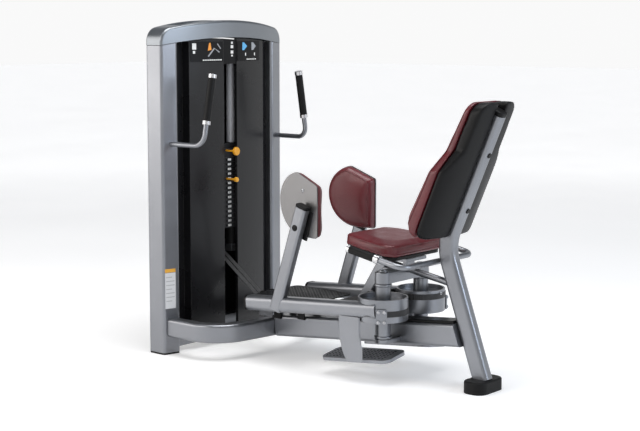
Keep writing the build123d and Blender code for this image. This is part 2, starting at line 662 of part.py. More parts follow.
def seat_rail():
    """U-shaped rail with a straight grip length on each side of the seat."""
    tube = Circle(HANDLE_R) - Circle(HANDLE_R - 2.5)
    return bent(SEAT_RAIL, 46, tube)


def along(start, end, distance):
    """Point at a distance from start towards end."""
    a, b = Vector(*start), Vector(*end)
    p = a + (b - a).normalized() * distance
    return (p.X, p.Y, p.Z)


def sleeve(start, end, first, last, radius, bore):
    """Sleeve round a tube between two distances along it."""
    a, b = along(start, end, first), along(start, end, last)
    return rod(a, b, radius) - rod(a, b, bore)


def tower_handle_points(side):
    """Corner points of one tower handle: out from the upright, then up and leaning inwards."""
    return [(front_line(350) - 12, side * 350, 951), (-500, side * 346, 951), (-498, side * 290, 1247)]


def tower_handle(side):
    """Bent tube of one tower handle."""
    tube = bent(tower_handle_points(side), 52, Circle(HANDLE_R - 1.5) - Circle(HANDLE_R - 4))
    return (tube - upright_envelope(side)).solids().sort_by(SortBy.VOLUME)[-1]


def grips_and_collars():
    """Rubber grips on the four handle ends, and the bright collars at each grip's ends."""
    grips, collars = [], []
    for side in SIDES.values():
        tip = tower_handle_points(side)[2]
        root = tower_handle_points(side)[1]
        bore = HANDLE_R - 1.5
        grips.append(sleeve(tip, root, 0, 190, GRIP_R, bore))
        collars.append(sleeve(tip, root, 190, 206, COLLAR_R, bore))
        collars.append(rod(along(tip, root, -16), tip, COLLAR_R))
        front, rear = (SEAT_RAIL[0], SEAT_RAIL[1]) if side < 0 else (SEAT_RAIL[3], SEAT_RAIL[2])
        grips.append(sleeve(front, rear, 0, 128, GRIP_R, HANDLE_R))
        collars.append(sleeve(front, rear, 128, 152, COLLAR_R, HANDLE_R))
        collars.append(rod(along(front, rear, -14), front, COLLAR_R))
    return grips, collars


def upright_front_x(z):
    """X of the rear upright's front face above its bend."""
    run = (UPRIGHT_HEAD[0] - UPRIGHT_BEND[0]) / (UPRIGHT_HEAD[1] - UPRIGHT_BEND[1])
    centre = UPRIGHT_HEAD[0] + (z - UPRIGHT_HEAD[1]) * run
    return centre - REAR_TUBE_DEPTH / 2 * hypot(1, run)


def back_plan(inset=0.0):
    """Front elevation of the back pad: narrow shoulders over a wide lumbar part."""
    top, low = BACK_TOP_Z - inset, BACK_BOTTOM_Z + inset
    points = [(-128 + inset, top), (128 - inset, top), (134 - inset, 985), (192 - inset, 900),
              (192 - inset, low), (-192 + inset, low), (-192 + inset, 900), (-134 + inset, 985)]
    face = make_face(Polyline(*points, close=True))
    rounded = fillet(face.vertices().filter_by(lambda v: v.Y > 1100 or v.Y < 700), 52)
    return rounded


def back_prism(inset):
    """Back plan carried through in X, for trimming the cushion and its shell."""
    return Pos(300, 0, 0) * extrude(Plane.YZ * back_plan(inset), 600)


def back_cushion():
    """Plain closed form of the back cushion, rounded under its lower edge."""
    low, high = upright_front_x(BACK_BOTTOM_Z) - BACK_GAP, upright_front_x(BACK_TOP_Z) - BACK_GAP
    foot, chin, waist, head = BACK_FRONT
    profile = [
        Line((high, BACK_TOP_Z), (low + 4, BACK_BOTTOM_Z + 9)),
        Line((low + 4, BACK_BOTTOM_Z + 9), foot),
        ThreePointArc(foot, chin, waist),
        Line(waist, head),
        Line(head, (high, BACK_TOP_Z)),
    ]
    return extrude(Plane.XZ * make_face(profile), 220, both=True) & back_prism(0)


def back_shell():
    """Moulded shell behind the cushion, bulging round the front of the upright."""
    run = (UPRIGHT_HEAD[0] - UPRIGHT_BEND[0], UPRIGHT_HEAD[1] - UPRIGHT_BEND[1])
    length = hypot(*run)
    foot = (upright_front_x(UPRIGHT_BEND[1]) - BACK_GAP + 0.4, 0, UPRIGHT_BEND[1])
    start = Plane(origin=foot, x_dir=(0, 1, 0), z_dir=(run[0] / length, 0, run[1] / length))
    rear_half = Pos(0, -BACK_SHELL_DEPTH) * Rectangle(3 * BACK_SHELL_HALF, 2 * BACK_SHELL_DEPTH)
    half = Ellipse(BACK_SHELL_HALF, BACK_SHELL_DEPTH) & rear_half
    shell = extrude(start * half, 700) & back_prism(5)
    body = rear_upright(RectangleRounded(REAR_TUBE_WIDTH + 0.8, REAR_TUBE_DEPTH + 0.8, 18))
    return (shell - body - rear_cap_envelope()).solids().sort_by(SortBy.VOLUME)[-1]


def rear_cap_envelope():
    """Slightly larger copy of the upright's cap, for clearance."""
    run = (UPRIGHT_HEAD[0] - UPRIGHT_BEND[0], UPRIGHT_HEAD[1] - UPRIGHT_BEND[1])
    length = hypot(*run)
    start = Plane(origin=(UPRIGHT_HEAD[0], 0, UPRIGHT_HEAD[1]), x_dir=(0, 1, 0),
                  z_dir=(run[0] / length, 0, run[1] / length))
    return extrude(start * RectangleRounded(REAR_TUBE_WIDTH + 4, REAR_TUBE_DEPTH + 4, 18), 80)


# ---------------------------------------------------------------- pivots and arms
def pivot_ears():
    """Lower ears on the beam's sides that hold the feet of the pivot shafts."""
    ears = []
    for side in SIDES.values():
        y = side * PIVOT_Y
        ear = block((PIVOT_X - 34, PIVOT_X + 34), mirrored(BEAM_WIDTH / 2, PIVOT_Y, side), LOWER_EAR_Z)
        ear += Pos(PIVOT_X, y, LOWER_EAR_Z[0]) * Cylinder(34, LOWER_EAR_Z[1] - LOWER_EAR_Z[0],
                                                          align=(Align.CENTER, Align.CENTER, Align.MIN))
        ears.append(ear - rod((PIVOT_X, y, 150), (PIVOT_X, y, 190), SHAFT_R))
    return ears


def pivot_yoke():
    """Upper yoke across both shaft heads, joined to the seat post."""
    low, high = YOKE_Z
    bar = Pos(PIVOT_X, 0, low) * extrude(SlotOverall(2 * PIVOT_Y + 70, 70, rotation=90), high - low)
    bar = fillet(bar.faces().sort_by(Axis.Z)[-1].edges(), 5)
    bar += block((232, PIVOT_X), (-24, 24), (low + 4, high - 6))
    bar -= leaning_post()
    bar -= seat_brace()
    for side in SIDES.values():
        bar -= rod((PIVOT_X, side * PIVOT_Y, low - 5), (PIVOT_X, side * PIVOT_Y, high - 12), SHAFT_R)
    return bar.solids().sort_by(SortBy.VOLUME)[-1]


def pivot_shafts():
    """Two fixed upright shafts that the arm hubs turn on."""
    return [rod((PIVOT_X, side * PIVOT_Y, LOWER_EAR_Z[0]), (PIVOT_X, side * PIVOT_Y, YOKE_Z[1] - 12), SHAFT_R)
            for side in SIDES.values()]


def belt_drum(side):
    """Dished drum welded round a long hub."""
    y = side * PIVOT_Y
    hub = ring((PIVOT_X, y, HUB_Z[0]), HUB_R, SHAFT_R + RUNNING_CLEARANCE, HUB_Z[1] - HUB_Z[0])
    wall = ring((PIVOT_X, y, DRUM_Z[0]), DRUM_R, DRUM_R - 7, DRUM_Z[1] - DRUM_Z[0])
    floor = ring((PIVOT_X, y, DRUM_Z[0] + 6), DRUM_R - 5, HUB_R - 2, DRUM_Z[1] - DRUM_Z[0] - 26)
    return hub + wall + floor


def drum_band(side, z):
    """Belt lying round the drum."""
    y = side * PIVOT_Y
    return ring((PIVOT_X, y, z - BELT_WIDTH / 2), DRUM_R + BELT_THICK, DRUM_R, BELT_WIDTH)


def belt_clamp(side):
    """Plate on the drum that pins the belt down, with its four screws."""
    y = side * PIVOT_Y
    facing = Vector(cos(radians(CLAMP_ANGLE)), side * sin(radians(CLAMP_ANGLE)), 0)
    centre = Vector(PIVOT_X, y, 291) + facing * (DRUM_R + BELT_THICK)
    face = Plane(origin=centre, x_dir=(-facing.Y, facing.X, 0), z_dir=facing)
    plate = extrude(face * RectangleRounded(46, 62, 4), 6)
    screw_head = Cylinder(6.5, 4, align=(Align.CENTER, Align.CENTER, Align.MIN))
    pieces = [plate]
    for u in (-12, 12):
        for v in (-21, 21):
            pieces.append(face.offset(6) * Pos(u, v, 0) * screw_head)
    return pieces


def arm_centre_z(x):
    """Height of the arm's centre line at x."""
    return ARM_PIVOT_Z + (x - PIVOT_X) * tan(radians(ARM_SLOPE))


def arm_post(side, grow=0.0):
    """Leaning post on the arm."""
    lean = tan(radians(POST_LEAN))
    low = (POST_BASE[0], side * POST_Y, POST_BASE[1])
    high = (POST_BASE[0] + (POST_TOP_Z - POST_BASE[1]) * lean, side * POST_Y, POST_TOP_Z)
    section = RectangleRounded(POST_SIZE[1] + 2 * grow, POST_SIZE[0] + 2 * grow, 12)
    if grow == 0.0:
        section = hollow_section(POST_SIZE[1], POST_SIZE[0], 12)
    return bent([low, high], 0, section)


def arm_tube(side):
    """Rounded tube from the tip to the side of the drum, with the drum's curve cut into its end."""
    low = (ARM_TIP_X, side * ARM_Y, arm_centre_z(ARM_TIP_X))
    high = (ARM_END_X, side * ARM_Y, arm_centre_z(ARM_END_X))
    tube = bent([low, high], 0, hollow_section(ARM_WIDTH, ARM_HEIGHT, 22, 4))
    y = side * PIVOT_Y
    tube -= Pos(PIVOT_X, y, 300) * Cylinder(DRUM_R, 300)
    band_z = LEFT_BELT_Z if side < 0 else RIGHT_BELT_Z
    tube -= Pos(PIVOT_X, y, band_z) * Cylinder(DRUM_R + BELT_THICK + 1.5, BELT_WIDTH + 4)
    tube -= arm_post(side, 0.01)
    return tube.solids().sort_by(SortBy.VOLUME)[-1]


def arm_caps(side):
    """Plug in the arm's tip and cap on the leaning post."""
    slope = radians(ARM_SLOPE)
    tip = Plane(origin=(ARM_TIP_X, side * ARM_Y, arm_centre_z(ARM_TIP_X)), x_dir=(0, 1, 0),
                z_dir=(-cos(slope), 0, -sin(slope)))
    plug = extrude(tip * RectangleRounded(ARM_WIDTH + 3, ARM_HEIGHT + 3, 23), 12)
    plug = fillet(plug.faces().sort_by(Axis.X)[0].edges(), 4)
    lean = radians(POST_LEAN)
    top_x = POST_BASE[0] + (POST_TOP_Z - POST_BASE[1]) * tan(lean)
    head = Plane(origin=(top_x, side * POST_Y, POST_TOP_Z), x_dir=(0, 1, 0), z_dir=(sin(lean), 0, cos(lean)))
    cap = extrude(head * RectangleRounded(POST_SIZE[1] + 1, POST_SIZE[0] + 1, 12), 14)
    cap = fillet(cap.faces().sort_by(Axis.Z)[-1].edges(), 5)
    return [plug, cap]


def pad_plane(side, depth):
    """Upright plane of a knee pad, looking outwards, at a depth inside the plate's outer face."""
    toe = radians(PAD_TOE_IN)
    forward = Vector(-cos(toe), -side * sin(toe), 0)
    outward = Vector(-sin(toe), side * cos(toe), 0)
    origin = Vector(PAD_REAR_X, side * PAD_PLATE_Y, 0) - outward * depth
    return Plane(origin=origin, x_dir=forward, z_dir=outward)


def pad_outline(side, inset=0.0):
    """D-shaped pad outline: straight rear edge, and a nose of two arcs that meet at its foremost point."""
    up = 1 if side > 0 else -1
    front, level = 240 - inset, 730
    upper, lower = 125 - inset, 156 - inset
    crown = (front - upper + 13, level + (upper ** 2 - 13 ** 2) ** 0.5)
    chin = (front - lower + 25, level - (lower ** 2 - 25 ** 2) ** 0.5)
    shoulder = (front - upper + upper * sin(radians(45)), level + upper * sin(radians(45)))
    jaw = (front - lower + lower * sin(radians(45)), level - lower * sin(radians(45)))
    outline = [(inset, chin[1] - 2), (inset, 802 - inset), crown, shoulder, (front, level), jaw, chin]
    foot, heel, crown, shoulder, tip, jaw, chin = [(x, up * z) for x, z in outline]
    face = make_face([
        Line(foot, heel),
        Line(heel, crown),
        ThreePointArc(crown, shoulder, tip),
        ThreePointArc(tip, jaw, chin),
        Line(chin, foot),
    ])
    face = fillet(face.vertices().sort_by(Axis.X)[:2], 14)
    return fillet(face.vertices().filter_by(lambda v: crown[0] + 25 > v.X > chin[0] - 25), 30)


def knee_plate(side):
    """Steel backing plate of a knee pad."""
    return extrude(pad_plane(side, PAD_PLATE_THICK) * pad_outline(side, 2), PAD_PLATE_THICK)


def knee_cushion(side):
    """Plain closed form of a knee cushion, with a broad rounding down its rear inner edge."""
    depth = PAD_PLATE_THICK + PAD_CUSHION_THICK + 0.2
    pad = extrude(pad_plane(side, depth) * pad_outline(side), PAD_CUSHION_THICK)
    inner = pad.faces().sort_by(Axis.Y)[0 if side > 0 else -1]
    return fillet(inner.edges().sort_by(Axis.X)[-1:], 38)


def knee_bracket(side):
    """Black rail between the leaning post and the pad plate."""
    lean = radians(POST_LEAN)
    x = POST_BASE[0] + (KNEE_RAIL_Z - POST_BASE[1]) * tan(lean)
    inner = POST_Y - POST_SIZE[1] / 2
    foot = (x + 20, side * (inner - 13), KNEE_RAIL_Z)
    start = Plane(origin=foot, x_dir=(0, 1, 0), z_dir=(sin(lean), 0, cos(lean)))
    rail = extrude(start * RectangleRounded(26, 54, 6), 130)
    rail -= arm_post(side, 0.01)
    wall = extrude(pad_plane(side, 60) * Rectangle(900, 2400), 60)
    return (rail - wall).solids().sort_by(SortBy.VOLUME)[-1]


def footrest(side):
    """Hanger under the arm with an inclined foot plate."""
    outer = ARM_Y + 34
    y = side * (outer - 26)
    top = (227, y, arm_centre_z(227) - ARM_HEIGHT / 2 + 6)
    hanger = bent([top, (229, y, 200), (246, y, 140), (290, y, 80)], 60, RectangleRounded(46, 114, 8))
    hanger -= arm_envelope(side)
    hanger -= Pos(PIVOT_X, side * PIVOT_Y, 0) * Cylinder(DRUM_R + BELT_THICK + 1.5, 800)
    pitch = atan2(34, 350)
    roll = atan2(22, 147)
    plane = Plane(origin=(231, side * 144, 98), x_dir=(cos(pitch), 0, sin(pitch)),
                  z_dir=(-sin(pitch), side * sin(roll), cos(roll)))
    plate = extrude(plane * RectangleRounded(362, 147, 36), 6)
    rim = extrude(plane * (RectangleRounded(362, 147, 36) - RectangleRounded(350, 135, 30)), -8)
    hanger -= extrude(plane * Rectangle(900, 900), -300)
    return (hanger + plate + rim).solids().sort_by(SortBy.VOLUME)[-1]


def arm_envelope(side):
    """Outside of the arm tube, for fitting parts against it."""
    low = (ARM_TIP_X, side * ARM_Y, arm_centre_z(ARM_TIP_X))
    high = (ARM_END_X, side * ARM_Y, arm_centre_z(ARM_END_X))
    return bent([low, high], 0, RectangleRounded(ARM_WIDTH, ARM_HEIGHT, 22))


# ---------------------------------------------------------------- build
def build():
    """Write every node."""
    os.makedirs("parts", exist_ok=True)
    write("tower_cap", tower_cap())
    write("placards", *placards())
    write("tower_crossmembers", *crossmembers())
    write("tower_shrouds", front_shroud(-1), front_shroud(1), rear_shroud())
    write("tower_handles", tower_handle(-1), tower_handle(1))
    write("guide_rods", *guide_rods())
    write("stack_bumpers", *stack_bumpers())
    write("rubber_feet", *rubber_feet())
    write("bow_tube", bow())
    write("main_beam", main_beam())
    write("frame_trim", beam_cover(), rear_cap(), *hole_plugs())
    write("rear_upright", rear_upright(hollow_section(REAR_TUBE_WIDTH, REAR_TUBE_DEPTH, 18)))
    write("step_plate", step_plate())
    write("seat_cushion", seat_cushion())
    write("seat_board", seat_board())
    write("seat_post", seat_post())
    write("seat_rail", seat_rail())
    grips, collars = grips_and_collars()
    write("hand_grips", *grips)
    write("grip_collars", *collars)
    write("back_cushion", back_cushion())
    write("back_shell", back_shell())
    write("frame_brackets", *pivot_ears(), *pulley_mounts())
    write("pivot_yoke", pivot_yoke())
    write("pivot_shafts", *pivot_shafts())
    write("stack_head", *stack_head())
    resting = PLATE_COUNT - LIFTED_COUNT
    write("resting_plates", *[weight_plate(level) for level in range(resting)])
    write("lifted_plates", *[weight_plate(level) for level in range(resting, PLATE_COUNT)])
    write("selector_pin", pull_knob(pin_height(), 16, STACK_X + 2, 11))
    head_low = STACK_BOTTOM + PLATE_COUNT * PLATE_PITCH
    write("increment_knob", pull_knob(head_low + 32, 14, STACK_X + 14, 19))
    write("top_pulley", pulley(*TOP_PULLEY))
    write("rear_pulley", pulley(*REAR_PULLEY))
    write("front_pulley", pulley(*FRONT_PULLEY))
    write("left_idler", idler(1, RIGHT_BELT_Z))
    write("right_idler", idler(-1, LEFT_BELT_Z))
    write("yoke_block", yoke_block())
    write("arm_belts", arm_belt_run(-1, LEFT_BELT_Z), arm_belt_run(1, RIGHT_BELT_Z))
    write("stack_belts", stack_belt(-1), stack_belt(1))
    write("stack_belt_drops", stack_belt_drop(-1), stack_belt_drop(1))
    for name, side in SIDES.items():
        band_z = LEFT_BELT_Z if side < 0 else RIGHT_BELT_Z
        write(f"{name}_tower_upright", tower_upright(side))
        write(f"{name}_belt_drum", belt_drum(side))
        write(f"{name}_drum_band", drum_band(side, band_z))
        write(f"{name}_belt_clamp", *belt_clamp(side))
        write(f"{name}_arm_tube", arm_tube(side))
        write(f"{name}_arm_post", arm_post(side))
        write(f"{name}_arm_caps", *arm_caps(side))
        write(f"{name}_knee_plate", knee_plate(side))
        write(f"{name}_knee_cushion", knee_cushion(side))
        write(f"{name}_knee_bracket", knee_bracket(side))
        write(f"{name}_footrest", footrest(side))


build()
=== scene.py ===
"""Looks of the hip abduction machine: materials, upholstery and small details round the CAD frame."""
import json
from math import atan2, cos, pi, radians, sin

import bmesh
import bpy
from mathutils import Matrix, Vector


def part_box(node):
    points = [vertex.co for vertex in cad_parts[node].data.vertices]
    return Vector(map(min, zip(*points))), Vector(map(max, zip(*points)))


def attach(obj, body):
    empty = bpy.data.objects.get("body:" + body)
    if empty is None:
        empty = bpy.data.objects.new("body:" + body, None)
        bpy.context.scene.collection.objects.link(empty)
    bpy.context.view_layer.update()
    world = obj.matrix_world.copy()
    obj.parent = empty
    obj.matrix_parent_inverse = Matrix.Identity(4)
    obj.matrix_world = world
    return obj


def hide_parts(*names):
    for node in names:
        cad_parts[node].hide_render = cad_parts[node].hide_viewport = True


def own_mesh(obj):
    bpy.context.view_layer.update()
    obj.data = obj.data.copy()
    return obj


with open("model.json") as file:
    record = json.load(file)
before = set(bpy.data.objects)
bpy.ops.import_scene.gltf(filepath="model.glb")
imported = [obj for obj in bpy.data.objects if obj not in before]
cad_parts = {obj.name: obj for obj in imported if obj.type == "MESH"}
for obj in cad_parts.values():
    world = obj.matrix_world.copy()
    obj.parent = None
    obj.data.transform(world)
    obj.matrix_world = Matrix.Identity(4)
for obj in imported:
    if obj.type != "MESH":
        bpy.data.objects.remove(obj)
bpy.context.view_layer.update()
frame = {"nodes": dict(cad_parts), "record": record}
scene = bpy.context.scene
nodes = frame["nodes"]

# Sizes of the CAD frame, in metres and radians.
SEAT_TILT = radians(5.0)
BACK_SLOPE = (280.0, 568.0)          # run and rise of the upright behind the back pad
PAD_TOE_IN = radians(7.5)
PIVOT_X, PIVOT_Y = 0.326, 0.1327
HUB_R = 0.032
DRUM_R = 0.105
BELT_THICK = 0.0025
CLAMP_Z = 0.291
CLAMP_THICK = 0.006
CLAMP_ANGLE = radians(56.0)
POST_PLUG = (-0.0624, 0.620)         # (x, z) of the plug on each leaning post
FOOT_PLATE = (0.231, 0.144, 0.098)   # middle of each foot plate, the second value to either side
FOOT_PITCH, FOOT_ROLL = atan2(34, 350), atan2(22, 147)
UPRIGHT_Y = (0.3085, 0.3965)         # inner and outer faces of the tower uprights
FRONT_BOW_R = 1.455                  # radius of the bowed front that the panels follow
PANEL_SETBACK = 0.0093
HEADER_X = -0.6676
TRAY_DEPTH = 0.0258
IDLER_X = 0.1956
LIFTED_PLATES, RESTING_PLATES = 5, 10

# Sizes of what is added here.
TREAD_PITCH = 0.0185
PRINT_ROW = (1.3175, 1.3225)         # lower and upper edge of the row of bars on each panel
CUSHION_VOXEL = 0.0055
CUSHION_PRESSURE = 1.4
LAST_CLOTH_FRAME = 20

CAMERA_PLACE = (3.8568, -4.7645, 1.4723)
CAMERA_TURN = (radians(84.0083), 0.0, radians(39.8935))
SIDES = {"left": -1, "right": 1}


# ---------------------------------------------------------------- materials
class Shader:
    """A material with a principled shader, and short calls for adding nodes to it."""

    def __init__(self, name):
        self.material = bpy.data.materials.new(name)
        self.material.use_nodes = True
        self.tree = self.material.node_tree
        self.tree.nodes.clear()
        output = self.tree.nodes.new("ShaderNodeOutputMaterial")
        self.bsdf = self.tree.nodes.new("ShaderNodeBsdfPrincipled")
        self.tree.links.new(self.bsdf.outputs[0], output.inputs[0])
        self.place = self.tree.nodes.new("ShaderNodeTexCoord").outputs["Object"]

    def add(self, kind, settings=None, **inputs):
        """New node with settings on the node and values or links on its inputs."""
        node = self.tree.nodes.new("ShaderNode" + kind)
        for key, value in (settings or {}).items():
            setattr(node, key, value)
        for key, value in inputs.items():
            self.feed(node, key.replace("_", " "), value)
        return node

    def feed(self, node, key, value):
        """Link or value for one input, found by name or by number."""
        socket = node.inputs[int(key[1:])] if key[0] == "i" and key[1:].isdigit() else node.inputs[key]
        if isinstance(value, bpy.types.NodeSocket):
            self.tree.links.new(value, socket)
        else:
            socket.default_value = value

    def noise(self, scale, detail=3.0, stretch=None, roughness=0.5):
        """Noise in metres; stretch gives a different scale along each axis."""
        place = self.place
        if stretch:
            place = self.add("Mapping", i0=self.place, Scale=stretch).outputs[0]
        node = self.add("TexNoise", Vector=place, Scale=scale, Detail=detail, Roughness=roughness)
        return node.outputs["Fac"]

    def math(self, operation, *values, clamp=False):
        """One maths node."""
        node = self.add("Math", {"operation": operation, "use_clamp": clamp})
        for number, value in enumerate(values):
            self.feed(node, f"i{number}", value)
        return node.outputs[0]

    def between(self, factor, low, high, start=0.35, end=0.65):
        """Number that runs from low to high as the factor runs from start to end."""
        node = self.add("MapRange", i0=factor, i1=start, i2=end, i3=low, i4=high)
        return node.outputs[0]

    def colours(self, factor, *stops):
        """Colour ramp with stops given as (position, colour)."""
        node = self.add("ValToRGB", Fac=factor)
        ramp = node.color_ramp
        while len(ramp.elements) < len(stops):
            ramp.elements.new(0.5)
        for element, (position, colour) in zip(ramp.elements, stops):
            element.position = position
            element.color = (*colour, 1.0)
        return node.outputs[0]

    def blend(self, factor, first, second):
        """Mix of two colours."""
        node = self.add("Mix", {"data_type": "RGBA"})
        self.feed(node, "i0", factor)
        for key, value in (("i6", first), ("i7", second)):
            self.feed(node, key, value if isinstance(value, bpy.types.NodeSocket) else (*value, 1.0))
        return node.outputs[2]

    def bumps(self, *heights, rounding=0.0):
        """Chain of bumps, each (height, depth in metres), over normals rounded at the edges."""
        normal = None
        if rounding:
            normal = self.add("Bevel", {"samples": 4}, Radius=rounding).outputs[0]
        for height, depth in heights:
            node = self.add("Bump", Height=height, Distance=depth, Strength=1.0)
            if normal:
                self.feed(node, "Normal", normal)
            normal = node.outputs[0]
        self.feed(self.bsdf, "Normal", normal)

    def edges(self, radius):
        """Mask that is bright on sharp edges, broken up by noise; it is used to paint highlights along the
        edges.
        """
        bevel = self.add("Bevel", {"samples": 4}, Radius=radius).outputs[0]
        flat = self.add("NewGeometry").outputs["Normal"]
        dot = self.add("VectorMath", {"operation": "DOT_PRODUCT"}, i0=bevel, i1=flat).outputs["Value"]
        edge_highlight = self.math("SUBTRACT", 1.0, dot)
        return self.math("MULTIPLY", edge_highlight, self.between(self.noise(60.0), 0.0, 6.0), clamp=True)

    def finish(self, colour, roughness, **values):
        """Sets the colour, the roughness and any constant values of the shader."""
        self.feed(self.bsdf, "Base Color", colour)
        self.feed(self.bsdf, "Roughness", roughness)
        for key, value in values.items():
            self.bsdf.inputs[key.replace("_", " ")].default_value = value
        return self.material


def metallic_paint(name, dark, light):
    """Satin metallic paint: fine flake, faint cloudiness, and a painted highlight that lightens the sharp
    edges.
    """
    s = Shader(name)
    cloud = s.noise(3.5, 4.0)
    flake = s.noise(2200.0, 1.0)
    body = s.colours(cloud, (0.3, dark), (0.7, light))
    speck = s.blend(s.between(flake, 0.0, 0.14, 0.45, 0.7), body, (0.70, 0.72, 0.76))
    # painted highlight: the sharp edges are lightened towards pale grey
    colour = s.blend(s.math("MULTIPLY", s.edges(0.0015), 0.30), speck, (0.60, 0.60, 0.60))
    smudge = s.between(s.noise(14.0, 3.0), 0.33, 0.38)
    s.bumps((s.noise(420.0, 2.0), 0.00003), rounding=0.0016)
    return s.finish(colour, smudge, Metallic=0.88, Coat_Weight=0.12, Coat_Roughness=0.25)


def plain_metal(name, dark, light, rough, stretch=(1.0, 1.0, 1.0), metallic=1.0):
    """Bare or plated metal with fine tool marks along one direction."""
    s = Shader(name)
    marks = s.noise(300.0, 3.0, stretch)
    colour = s.colours(marks, (0.3, dark), (0.7, light))
    colour = s.blend(s.between(s.noise(25.0), 0.0, 0.18), colour, tuple(0.6 * c for c in dark))
    s.bumps((marks, 0.00006), rounding=0.0006)
    return s.finish(colour, s.between(marks, rough - 0.07, rough + 0.07), Metallic=metallic)


def moulded(name, dark, light, rough, grain=900.0, depth=0.00012, coat=0.0, shine=0.14,
            edge=(0.09, 0.09, 0.09)):
    """Black moulded plastic or rubber with a fine grain, dusty patches and a painted highlight along the
    sharp edges, in the edge colour.
    """
    s = Shader(name)
    grain_height = s.noise(grain, 2.0)
    patch = s.noise(5.0, 5.0)
    colour = s.colours(patch, (0.35, dark), (0.65, light))
    # painted highlight: the sharp edges are lightened towards the edge colour
    colour = s.blend(s.math("MULTIPLY", s.edges(0.002), 0.5), colour, edge)
    s.bumps((grain_height, depth), (s.noise(18.0), 0.0003), rounding=0.0015)
    rough = s.between(patch, rough - 0.05, rough + 0.06)
    return s.finish(colour, rough, Specular_IOR_Level=shine, Coat_Weight=coat, Coat_Roughness=0.15)


def ribbed(name, dark, light, pitch, axis, rough):
    """Rubber with moulded ribs that repeat along one axis."""
    s = Shader(name)
    split = s.add("SeparateXYZ", Vector=s.place)
    wave = s.math("SINE", s.math("MULTIPLY", split.outputs[axis], 2 * pi / pitch))
    grain = s.noise(1100.0, 2.0)
    colour = s.colours(s.between(wave, 0.0, 1.0, -1.0, 1.0), (0.25, dark), (0.8, light))
    s.bumps((wave, 0.0006), (grain, 0.0001), rounding=0.001)
    return s.finish(colour, s.between(grain, rough - 0.05, rough + 0.08))


def vinyl(name):
    """Dark red upholstery vinyl: pebble grain, stretch creases, faint cloudiness and a soft shine."""
    s = Shader(name)
    pebble = s.add("TexVoronoi", {"feature": "SMOOTH_F1"}, Vector=s.place, Scale=620.0, Smoothness=0.6)
    pebble = pebble.outputs["Distance"]
    crease = s.noise(26.0, 6.0, (1.0, 0.6, 1.6), 0.62)
    cloud = s.noise(4.5, 4.0)
    colour = s.colours(cloud, (0.3, (0.088, 0.004, 0.008)), (0.7, (0.118, 0.007, 0.012)))
    pores = s.between(pebble, 0.0, 0.35, 0.35, 0.7)
    colour = s.blend(pores, colour, (0.045, 0.003, 0.006))
    s.bumps((pebble, -0.00022), (crease, 0.0009), (cloud, 0.002))
    rough = s.math("ADD", s.between(crease, 0.30, 0.42), s.math("MULTIPLY", pores, 0.15))
    return s.finish(colour, rough, Sheen_Weight=0.06, Sheen_Roughness=0.4,
                    Coat_Weight=0.08, Coat_Roughness=0.35)


def printed(name, colour):
    """Flat printed ink, slightly mottled."""
    s = Shader(name)
    tone = s.between(s.noise(300.0), 0.85, 1.0)
    shade = s.blend(tone, tuple(0.6 * c for c in colour), colour)
    s.bumps((s.noise(800.0), 0.00002))
    return s.finish(shade, s.between(s.noise(40.0), 0.35, 0.5))


def concrete_white(name):
    """Pale studio floor with a faint unevenness; a glow that grows away from the object hides the horizon."""
    s = Shader(name)
    colour = s.colours(s.noise(0.8, 3.0), (0.3, (0.80, 0.80, 0.80)), (0.7, (0.83, 0.83, 0.83)))
    s.bumps((s.noise(40.0), 0.0002))
    distance = s.add("VectorMath", {"operation": "LENGTH"}, i0=s.place).outputs["Value"]
    s.feed(s.bsdf, "Emission Color", colour)
    s.feed(s.bsdf, "Emission Strength", s.between(distance, 0.38, 0.87, 2.0, 9.0))
    return s.finish(colour, s.between(s.noise(3.0), 0.50, 0.62))


MATERIALS = {
    "frame_paint": metallic_paint("metallic_grey", (0.184, 0.191, 0.208), (0.222, 0.230, 0.248)),
    "cap_paint": metallic_paint("cap_grey", (0.165, 0.178, 0.194), (0.200, 0.216, 0.232)),
    "plate_metal": metallic_paint("pad_plate_grey", (0.155, 0.152, 0.152), (0.185, 0.182, 0.183)),
    "shroud_black": moulded("shroud_black", (0.0050, 0.0050, 0.0058), (0.0066, 0.0066, 0.0078), 0.30,
                            grain=500.0, depth=0.00004, coat=0.12, shine=0.28),
    "trim_black": moulded("trim_black", (0.0045, 0.0045, 0.0048), (0.0070, 0.0070, 0.0075), 0.38),
    "pulley_black": moulded("pulley_black", (0.012, 0.012, 0.012), (0.02, 0.02, 0.02), 0.38, grain=700.0),
    "placard_print": moulded("placard_black", (0.0035, 0.0035, 0.0042), (0.0050, 0.0050, 0.0058), 0.30,
                             grain=300.0, depth=0.00003, coat=0.03),
    "upholstery": vinyl("red_vinyl"),
    "steel": plain_metal("plated_steel", (0.36, 0.365, 0.38), (0.50, 0.505, 0.52), 0.30, (1.0, 1.0, 0.05)),
    "bright_collar": plain_metal("bright_collar", (0.50, 0.50, 0.51), (0.64, 0.64, 0.65), 0.27,
                                 (0.4, 0.4, 1.0)),
    "rubber_black": moulded("rubber_black", (0.0050, 0.0050, 0.0052), (0.0085, 0.0085, 0.0088), 0.50,
                            grain=650.0, depth=0.0002),
    "belt_black": ribbed("belt_black", (0.010, 0.010, 0.011), (0.022, 0.022, 0.024), 0.004, 1, 0.45),
    "stack_iron": moulded("stack_iron", (0.012, 0.012, 0.013), (0.022, 0.022, 0.023), 0.40,
                          grain=350.0, depth=0.00018),
    # the knob's edge colour is its painted highlight along the sharp edges
    "knob_yellow": moulded("knob_amber", (0.62, 0.26, 0.01), (0.75, 0.36, 0.02), 0.3,
                           grain=500.0, depth=0.00004, coat=0.3, shine=0.3, edge=(0.8, 0.5, 0.1)),
}
NODE_MATERIALS = {
    "guide_rods": plain_metal("ground_rods", (0.50, 0.51, 0.55), (0.58, 0.59, 0.62), 0.48,
                              (1.0, 1.0, 0.05), metallic=0.25),
}


